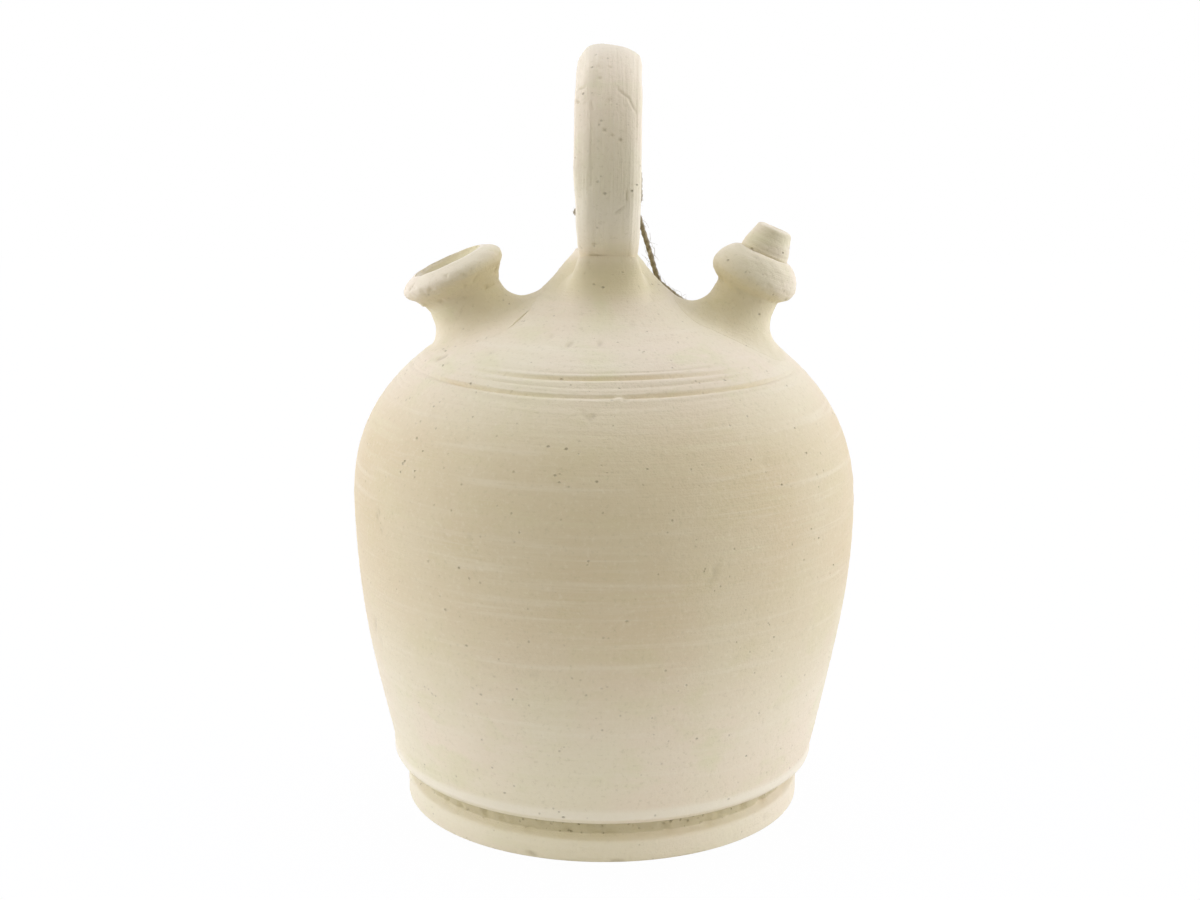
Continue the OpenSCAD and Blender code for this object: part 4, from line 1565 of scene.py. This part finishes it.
def carried_frames(route: Array) -> tuple[Array, Array, Array]:
    """Directions along a route, and two cross directions carried along it without twist."""
    along = unit(np.gradient(route, axis=0))
    first = np.cross(along[0], [1.0, 0.0, 0.0])
    sides = [first / np.linalg.norm(first)]
    for direction in along[1:]:
        side = sides[-1] - np.dot(sides[-1], direction) * direction
        sides.append(side / np.linalg.norm(side))
    side = np.array(sides)
    return along, side, np.cross(along, side)


@dataclass
class Twine:
    """Two-ply jute: a tube whose section has a lobe for each ply, turned steadily along its route."""

    radius: float = 0.00106
    plies: int = 2
    lay: float = 0.0062
    columns: int = 30

    def tube(self, name: str, route: Array, taper: float = 0.0) -> bpy.types.Object:
        """Makes a twisted tube along a route.

        The section's radius is the twine's times 0.7, plus 0.3 times the size of the cosine of half the
        turned angle times the number of plies, so that each ply stands out as a lobe, plus a fine hair.

        Args:
            name: Name of the piece.
            route: Points of the route, in metres.
            taper: Share of the radius that the last quarter loses.

        Returns:
            The piece.
        """
        line = through(route, self.radius * 0.45)
        run = lengths(line)[:, None]
        _, side, across = carried_frames(line)
        angle = np.linspace(0, ROUND, self.columns, endpoint=False)[None, :]
        turned = self.plies * (angle - ROUND * run / self.lay) / 2
        lobes = 0.70 + 0.30 * np.abs(np.cos(turned)) ** 0.8
        hair = 0.03 * Ripple(81, 30, (2, 12), (0.0015, 0.01)).height(angle, run)
        thin = 1 - taper * smooth(run, 0.75 * run.max(), run.max())
        radius = self.radius * thin * (lobes + hair)
        grid = (line[:, None] + (radius * np.cos(angle))[..., None] * side[:, None]
                + (radius * np.sin(angle))[..., None] * across[:, None])
        # The grooves between the plies keep their depth for the finish's painted shade
        return skin(name, grid, hollow_shade=smooth(np.abs(np.cos(turned)), 0.75, 0.1))

    def fibres(self, name: str, route: Array, seed: int, count: int,
               length: tuple[float, float]) -> bpy.types.Object:
        """Loose fibres that stand off a route: thin bent hairs of three sides.

        Each hair is a quadratic curve: it starts on the twine, heads outwards and bends back along it.

        Args:
            name: Name of the piece.
            route: Points of the route.
            seed: Seed of the hairs' places and bends.
            count: How many there are.
            length: Least and greatest length.

        Returns:
            All the hairs as one object.
        """
        rng = np.random.default_rng(seed)
        line = through(route, self.radius * 0.5)
        along, side, across = carried_frames(line)
        place = rng.integers(2, len(line) - 3, count)
        angle = rng.uniform(0, ROUND, count)[:, None]
        out = np.cos(angle) * side[place] + np.sin(angle) * across[place]
        reach = rng.uniform(*length, count)[:, None]
        swing = rng.choice([-1.0, 1.0], count)[:, None] * along[place]
        start = line[place] + out * self.radius * 0.7
        middle = start + 0.45 * reach * (out + 0.5 * swing)
        end = start + reach * (0.55 * out + 0.9 * swing + 0.2 * rng.normal(size=(count, 3)))
        t = np.linspace(0, 1, 7)[:, None, None]
        curve = (1 - t) ** 2 * start + 2 * t * (1 - t) * middle + t * t * end
        thick = 0.00009 * (1 - 0.6 * t)
        corner = np.linspace(0, ROUND, 3, endpoint=False)
        other = np.cross(out, unit(end - start))
        section = np.cos(corner)[:, None] * out[:, None] + np.sin(corner)[:, None] * other[:, None]
        rings = curve[:, :, None] + thick[..., None] * section
        hairs = [skin("hair", rings[:, i]) for i in range(count)]
        return joined(name, hairs)


@dataclass
class Ties:
    """The twine round the handle's far leg, its knot, the strand down to the tag, and the tag."""

    handle: Handle
    strap_w: float = 0.0255
    strap_t: float = 0.017
    twine_d: float = 0.002
    gap: float = 0.0004
    knot_at: tuple[float, float, float] = (0.0116, 0.0155, 0.2395)
    tag_at: tuple[float, float, float] = (0.0235, 0.0424, 0.1977)
    tag_turn_deg: float = 64.0
    tag_slope_deg: float = 32.0
    tag_w: float = 0.022
    tag_l: float = 0.040
    tag_t: float = 0.001
    tag_cut: float = 0.007
    hole_r: float = 0.0026
    hole_drop: float = 0.005
    twine: Twine = field(default_factory=Twine)
    made: list[bpy.types.Object] = field(default_factory=list)

    def beside(self, across: float, out: float, angle_deg: float) -> list[float]:
        """A point beside the strap, by its angle from the ring's top towards the back."""
        a = math.radians(angle_deg)
        reach = self.handle.ring_r + out
        return [across, reach * math.sin(a), self.handle.ring_z + reach * math.cos(a)]

    def loop_route(self) -> Array:
        """Route of the twine round the handle's far leg, from the knot and back to it."""
        side = self.strap_w / 2 + self.twine_d / 2 + self.gap
        left = side - 0.0025
        face = self.strap_t / 2 + self.twine_d / 2 + self.gap
        near = self.beside
        return np.array([
            [0.0124, 0.0181, 0.2388], near(side - 0.0012, -0.0076, 133), near(side, -0.004, 124),
            near(side, 0, 113), near(side, 0.0025, 104), near(side - 0.0012, 0.0062, 97),
            near(0.010, face - 0.0006, 95), near(0.005, face, 98), near(0, face, 104),
            near(-0.005, face, 111), near(-0.010, face - 0.0006, 119),
            near(0.0012 - left, 0.0062, 126), near(-left, 0.0015, 130),
            near(-left, -0.0025, 133), near(0.002 - left, -0.0072, 136), near(-0.009, 0.0004 - face, 138),
            near(-0.005, -face, 139), near(0, -face, 139), near(0.0045, -0.0002 - face, 139),
            [0.0088, 0.0159, 0.239]])

    def strand_route(self) -> Array:
        """Route of the strand, down from the knot and then over the dome to the tag behind it."""
        return np.array([
            [0.0125, 0.0159, 0.2368], [0.0137, 0.0156, 0.233], [0.0152, 0.015, 0.2282],
            [0.0168, 0.0142, 0.2232], [0.0183, 0.0132, 0.2184], [0.0198, 0.0123, 0.2134],
            [0.0218, 0.0115, 0.208], [0.0242, 0.0121, 0.2058],
            [0.0268, 0.0138, 0.2034], [0.0293, 0.0163, 0.2012], [0.0313, 0.0196, 0.1994],
            [0.0325, 0.0234, 0.1979], [0.0326, 0.0274, 0.1969], [0.0318, 0.031, 0.1964],
            [0.0302, 0.0342, 0.1968], [0.028, 0.0365, 0.198], [0.0254, 0.0374, 0.1996],
            [0.0227, 0.037, 0.2012]])

    def at_tag(self, points: Array) -> Array:
        """Points in the tag's own frame brought to the jar's: a turn about Y, one about Z, and a move."""
        slope = Matrix.Rotation(math.radians(self.tag_slope_deg), 3, "Y")
        turn = Matrix.Rotation(math.radians(self.tag_turn_deg), 3, "Z")
        return points @ np.array(turn @ slope).T + np.array(self.tag_at)

    def _kept(self, piece: bpy.types.Object, dressing: Dressing, *nodes: str) -> bpy.types.Object:
        """Dresses and places a piece of twine, and keeps it in the list of made pieces."""
        dressing.on(piece, Jute("jute_twine"))
        self.made.append(placed(piece, Slot.JUTE, *nodes))
        return piece

    def build_strand(self, dressing: Dressing) -> bpy.types.Object:
        """Makes the strand, which is the first piece because it is the free cord."""
        piece = self.twine.tube("twine_strand_jute", self.strand_route())
        return self._kept(piece, dressing, "twine_strand")

    def build_loop(self, dressing: Dressing) -> bpy.types.Object:
        """Makes the loop round the leg."""
        piece = self.twine.tube("twine_loop_jute", self.loop_route())
        return self._kept(piece, dressing, "twine_loop")

    def build_knot(self, dressing: Dressing) -> bpy.types.Object:
        """Makes the knot: a turn of twine wound on itself, and two tails that fray at their ends.

        The turn follows a curve that goes twice round a small ring while it goes three times round the
        ring's own tube, as a tight overhand knot does.

        Args:
            dressing: The finishes.

        Returns:
            The piece.
        """
        centre = np.array(self.knot_at)
        t = np.linspace(0, ROUND, 40)
        ring = 0.00105 + 0.00062 * np.cos(3 * t)
        winds = np.stack([ring * np.cos(2 * t), ring * np.sin(2 * t), 0.00075 * np.sin(3 * t)], axis=1)
        lean = np.array(Matrix.Rotation(math.radians(60), 3, "X"))
        parts = [self.twine.tube("knot_turns", centre + winds @ lean.T)]
        for lean_deg, turn_deg in ((117, 257), (93, 279)):
            a, b = math.radians(lean_deg), math.radians(turn_deg)
            ahead = np.array([math.sin(a) * math.cos(b), math.sin(a) * math.sin(b), math.cos(a)])
            tail = centre + np.linspace(0.001, 0.0088, 5)[:, None] * ahead
            tail[:, 2] -= np.linspace(0, 1, 5) ** 2 * 0.0006
            parts.append(self.twine.tube("tail", tail, 0.3))
            parts.append(self.twine.fibres("tail_end", tail[-3:], 90 + turn_deg, 16, (0.001, 0.0025)))
        return self._kept(joined("twine_knot_jute", parts), dressing, "twine_knot")

    def build_fibres(self, dressing: Dressing) -> bpy.types.Object:
        """Makes the loose fibres along the strand and the loop."""
        strand = self.twine.fibres("strand_fibres", self.strand_route(), 91, 110, (0.0012, 0.0042))
        loop = self.twine.fibres("loop_fibres", self.loop_route(), 92, 60, (0.0008, 0.0018))
        return self._kept(joined("twine_fibres", [strand, loop]), dressing)

    def build_tag(self, dressing: Dressing) -> bpy.types.Object:
        """Makes the card tag: two faces and an edge over polar rings round the hole.

        Rows run from the hole's rim out to the tag's outline and back on the other face. The card is
        curled a little about its length.

        Args:
            dressing: The finishes.

        Returns:
            The piece.
        """
        angle = np.linspace(0, ROUND, 220, endpoint=False)
        top, low = -self.hole_drop, self.tag_l - self.hole_drop
        half = self.tag_w / 2
        corners = np.array([
            [top, self.tag_cut - half], [top + self.tag_cut, -half], [low, -half], [low, half],
            [top + self.tag_cut, half], [top, half - self.tag_cut], [top, self.tag_cut - half]])
        outline = self._ray_hits(corners, angle)
        rim = self.hole_r * np.stack([np.cos(angle), np.sin(angle)], axis=1)
        share = np.array([0, 0.03, 0.08, 0.15, 0.25, 0.36, 0.48, 0.6, 0.72, 0.83, 0.92, 0.97, 0.99, 1.0])
        face = rim + share[:, None, None] * (outline - rim)
        thick = self.tag_t / 2 * np.array([0.75, 0.95] + [1.0] * 10 + [0.95, 0.7])
        rows = np.concatenate([face, face[::-1]])
        z = np.concatenate([thick, -thick[::-1]])[:, None] + 0 * angle
        curl = 5.0 * rows[..., 1] ** 2 * smooth(rows[..., 0], top, low)
        wave = 0.00006 * Ripple(95, 10, (1, 5), (0.01, 0.03)).height(angle, rows[..., 0])
        grid = np.stack([rows[..., 0], rows[..., 1], z + curl + wave], axis=-1)
        piece = skin("hang_tag_card", self.at_tag(grid), wrap_rows=True)
        dressing.on(piece, Card("tag_card"))
        self.made.append(placed(piece, Slot.CARD, "hang_tag"))
        return piece

    @staticmethod
    def _ray_hits(corners: Array, angle: Array) -> Array:
        """Where rays from the origin leave a closed convex outline.

        Args:
            corners: Corners of the outline, the last one equal to the first.
            angle: Angles of the rays.

        Returns:
            One point for each ray.
        """
        ray = np.stack([np.cos(angle), np.sin(angle)], axis=1)[:, None]
        start, edge = corners[:-1][None], np.diff(corners, axis=0)[None]
        cross = ray[..., 0] * edge[..., 1] - ray[..., 1] * edge[..., 0]
        cross = np.where(np.abs(cross) < 1e-12, 1e-12, cross)
        reach = (start[..., 0] * edge[..., 1] - start[..., 1] * edge[..., 0]) / cross
        share = (start[..., 0] * ray[..., 1] - start[..., 1] * ray[..., 0]) / cross
        hit = (reach > 0) & (share >= -1e-9) & (share <= 1 + 1e-9)
        return ray[:, 0] * np.where(hit, reach, np.inf).min(axis=1)[:, None]

    def build_tag_knot(self, dressing: Dressing) -> bpy.types.Object:
        """Makes the twine's turn through the tag's hole and the small knot that closes it.

        Args:
            dressing: The finishes.

        Returns:
            The piece.
        """
        turn_r = self.hole_drop / 2
        turn_x = 0.0002 - (self.hole_r + self.hole_drop) / 2
        t = np.linspace(0, ROUND, 25)
        turn = np.stack([turn_x + turn_r * np.cos(t + math.pi), 0 * t, turn_r * np.sin(t + math.pi)],
                        axis=1)
        wind = np.linspace(0, ROUND, 32)
        ring = 0.00085 + 0.00045 * np.cos(3 * wind)
        knot = np.stack([turn_x - turn_r - 0.0012 + 0.0006 * np.sin(3 * wind), ring * np.cos(2 * wind),
                         ring * np.sin(2 * wind)], axis=1)
        thin = Twine(self.twine_d / 2 - 0.0001)
        parts = [thin.tube("turn", self.at_tag(turn)), thin.tube("small_knot", self.at_tag(knot))]
        return self._kept(joined("tag_knot_jute", parts), dressing, "tag_knot")

    def declare(self) -> None:
        route = through(self.strand_route(), 0.0005)


# Stage, light and camera

@dataclass(frozen=True)
class Studio:
    """The photographer's table, tent of soft light and camera."""

    camera_at: tuple[float, float, float] = (-0.00155, -0.740, 0.306)
    pitch_deg: float = 12.543
    roll_deg: float = 0.27
    focal_px: float = 1887.7
    frame_px: float = 1200.0
    sensor_mm: float = 36.0
    table_front: float = 0.30
    table_side: float = 1.8
    table_glow: float = 0.97
    strength: float = 2.33
    walls: tuple[float, float, float] = (0.975, 0.985, 1.09)
    far: tuple[float, float, float] = (0.225, 0.255, 0.450)
    roof: tuple[float, float, float] = (0.232, 0.223, 0.202)
    floor: tuple[float, float, float] = (0.01, 0.01, 0.01)

    def camera(self) -> None:
        """Sets the camera at the photograph's place, as fitted to the foot, rim and shoulder circles."""
        data = bpy.data.cameras.new("camera")
        data.sensor_width = self.sensor_mm
        data.lens = self.focal_px / self.frame_px * self.sensor_mm
        data.clip_start, data.clip_end = 0.05, 20.0
        camera = bpy.data.objects.new("camera", data)
        turn = Matrix.Rotation(math.radians(90 - self.pitch_deg), 4, "X") @ Matrix.Rotation(
            math.radians(self.roll_deg), 4, "Z")
        camera.matrix_world = Matrix.Translation(self.camera_at) @ turn
        bpy.context.scene.collection.objects.link(camera)
        bpy.context.scene.camera = camera

    def table(self) -> None:
        """Makes the pale table: white to the camera, with the jar's own soft shadow kept."""
        width, front, back = self.table_side, self.table_front, self.table_side
        mesh = bpy.data.meshes.new("table")
        mesh.from_pydata([(-width, -front, 0), (width, -front, 0), (width, back, 0), (-width, back, 0)], [],
                         [(0, 1, 2, 3)])
        table = bpy.data.objects.new("table", mesh)
        bpy.context.scene.collection.objects.link(table)
        finish = Finish("table_white")
        finish.feeds("Base Color", (0.92, 0.92, 0.92, 1.0))
        finish.feeds("Roughness", 0.9)
        finish.feeds("Specular IOR Level", 0.0)
        seen = finish.value("ShaderNodeLightPath", output="Is Camera Ray")
        glow = finish.node("ShaderNodeEmission", {}, {"Color": (1.0, 1.0, 1.0), "Strength": 1.0})
        blend = finish.node("ShaderNodeMixShader", {}, {0: seen * self.table_glow})
        finish.links.new(finish.shader.outputs[0], blend.inputs[1])
        finish.links.new(glow.outputs[0], blend.inputs[2])
        output = next(n for n in finish.nodes if n.type == "OUTPUT_MATERIAL")
        finish.links.new(blend.outputs[0], output.inputs[0])
        mesh.materials.append(finish.material)

    def light(self) -> None:
        """Sets the tent: its light by direction, and plain white where the camera looks past the jar.

        Both side walls shine most, the back and the roof less, and the open front hardly at all. Each
        part is a colour times a smooth step of one coordinate of the direction.
        """
        world = bpy.data.worlds.new("tent")
        world.use_nodes = True
        bpy.context.scene.world = world
        tent = Shading(world.node_tree)
        tent.nodes.clear()
        x, y, z = tent.parts(tent.place("Generated"))
        walls = tent.tint(self.walls, tent.vector(*[x.size().step(0.69, 0.97)] * 3), "MULTIPLY")
        far = tent.tint(self.far, tent.vector(*[y.step(-0.5, 0.0)] * 3), "MULTIPLY")
        roof = tent.tint(self.roof, tent.vector(*[z.step(-0.2, 0.4)] * 3), "MULTIPLY")
        colour = tent.tint(tent.tint(walls, far), tent.tint(roof, self.floor))
        lit = tent.node("ShaderNodeBackground", {}, {"Color": colour, "Strength": self.strength})
        white = tent.node("ShaderNodeBackground", {}, {"Color": (1.0, 1.0, 1.0), "Strength": 1.0})
        seen = tent.value("ShaderNodeLightPath", output="Is Camera Ray")
        blend = tent.node("ShaderNodeMixShader", {}, {0: seen})
        tent.links.new(lit.outputs[0], blend.inputs[1])
        tent.links.new(white.outputs[0], blend.inputs[2])
        output = tent.node("ShaderNodeOutputWorld", {}, {})
        tent.links.new(blend.outputs[0], output.inputs[0])
        bpy.context.scene.view_settings.view_transform = "Standard"


# Sizes of the two necks, as radius and height up the neck, and of their skirts by degrees round them

MOUTH = Neck(-0.0603, 0.2147, -24.5)
MOUTH_OUTER = [
    (0.0149, -0.0136), (0.0152, -0.0118), (0.0160, -0.0096), (0.0174, -0.0075), (0.0190, -0.0057),
    (0.0204, -0.0040), (0.0210, -0.0023), (0.0206, -0.0007), (0.0195, 0.0006), (0.0180, 0.0015),
    (0.0165, 0.0022), (0.0152, 0.0028), (0.0141, 0.0030)]
MOUTH_BORE = [
    (0.01395, 0.0025), (0.0134, 0.0016), (0.0124, 0.0004), (0.0114, -0.0010), (0.0105, -0.0024),
    (0.0100, -0.0050), (0.0100, -0.0190), (0.0108, -0.0200)]
MOUTH_MARKS = [
    Mark(-150, -0.0078, 0.0009, 0.0022, 0.0011, 10), Mark(-62, -0.0060, -0.0005, 0.0020, 0.0006, 30),
    Mark(-48, -0.0130, -0.0005, 0.0018, 0.0007, 60),
    *scattered(64, 90, (-0.013, 0.001), (-0.0006, -0.0002), (0.0005, 0.0009), 2.4)]
MOUTH_HOLE_R = 0.0108
MOUTH_SKIRT_MM = {0: 29.8, 28: 29.3, 41: 28.5, 50: 27.9, 60: 29.0, 73: 31.5, 87: 32.0, 110: 29.5,
                  130: 26.5, 152: 22.8, 180: 22.0}
SPOUT = Neck(0.0591, 0.2127, 23.0)
SPOUT_OUTER = [
    (0.0126, -0.0100), (0.0126, -0.0082), (0.0129, -0.0068), (0.0144, -0.0056), (0.0161, -0.0041),
    (0.0171, -0.0024), (0.0174, -0.0005), (0.0171, 0.0012), (0.0163, 0.0031), (0.0153, 0.0048),
    (0.0141, 0.0063), (0.0126, 0.0077), (0.0112, 0.0084), (0.0101, 0.0087)]
SPOUT_BORE = [
    (0.00985, 0.0085), (0.0098, 0.0078), (0.0098, 0.0071), (0.00375, 0.0071), (0.00375, 0.0051),
    (0.0075, 0.0011), (0.0075, -0.0150)]
SPOUT_MARKS = [
    Mark(-120, -0.0070, 0.0007, 0.0030, 0.0009, -18), Mark(-60, -0.0075, 0.0004, 0.0022, 0.0009, 12),
    *scattered(68, 60, (-0.010, 0.007), (-0.0003, -0.0001), (0.0004, 0.0008), 2.2)]
SPOUT_HOLE_R = 0.0083
SPOUT_SKIRT_MM = {0: 23, 30: 26.0, 50: 30.0, 68: 28.0, 85: 25.3, 101: 23.0, 117: 23.5, 150: 25.5,
                  180: 26.0}


def main() -> None:
    """Builds the stage and the cord first, then the clay from the foot up, and logs each piece."""
    logging.basicConfig(level=logging.INFO, format="%(name)s: %(message)s")
    studio = Studio()
    studio.camera()
    studio.table()
    studio.light()
    dressing = Dressing()
    handle = Handle()
    ties = Ties(handle)
    ties.build_strand(dressing)
    ties.build_loop(dressing)
    ties.build_knot(dressing)
    ties.build_fibres(dressing)
    ties.build_tag_knot(dressing)
    ties.build_tag(dressing)
    ties.declare()
    pot = Pot()
    Vessel(pot).build(dressing)
    Dome(pot, ((MOUTH, MOUTH_HOLE_R), (SPOUT, SPOUT_HOLE_R))).build(dressing)
    Spout("filling_mouth_clay", "filling_mouth", MOUTH, MOUTH_OUTER, MOUTH_BORE, foot_r=0.0149,
          bore_r=0.0108, seed=60, marks=MOUTH_MARKS, bend=0.0005, nod=0.036).build(pot, dressing)
    Skirt("mouth_root_coil_clay", "mouth_root_coil", MOUTH, neck_r=0.0149, top_w=-0.0125,
          edge_mm=MOUTH_SKIRT_MM, seed=63, open_rise=0.0004).build(pot, dressing)
    Spout("drinking_spout_clay", "drinking_spout", SPOUT, SPOUT_OUTER, SPOUT_BORE, foot_r=0.0126,
          bore_r=0.0075, seed=66, marks=SPOUT_MARKS).build(pot, dressing)
    Skirt("spout_root_coil_clay", "spout_root_coil", SPOUT, neck_r=0.0126, top_w=-0.0098,
          edge_mm=SPOUT_SKIRT_MM, seed=69).build(pot, dressing)
    Nib(SPOUT).build(dressing)
    handle.build(dressing)
    HandleCoil("handle_front_coil_clay", "handle_front_coil", 0.0, pot, seed=75).build(dressing)
    HandleCoil("handle_back_coil_clay", "handle_back_coil", 180.0, pot, left=12.2, right=10.8,
               seed=76).build(dressing)


if __name__ == "__main__":
    main()
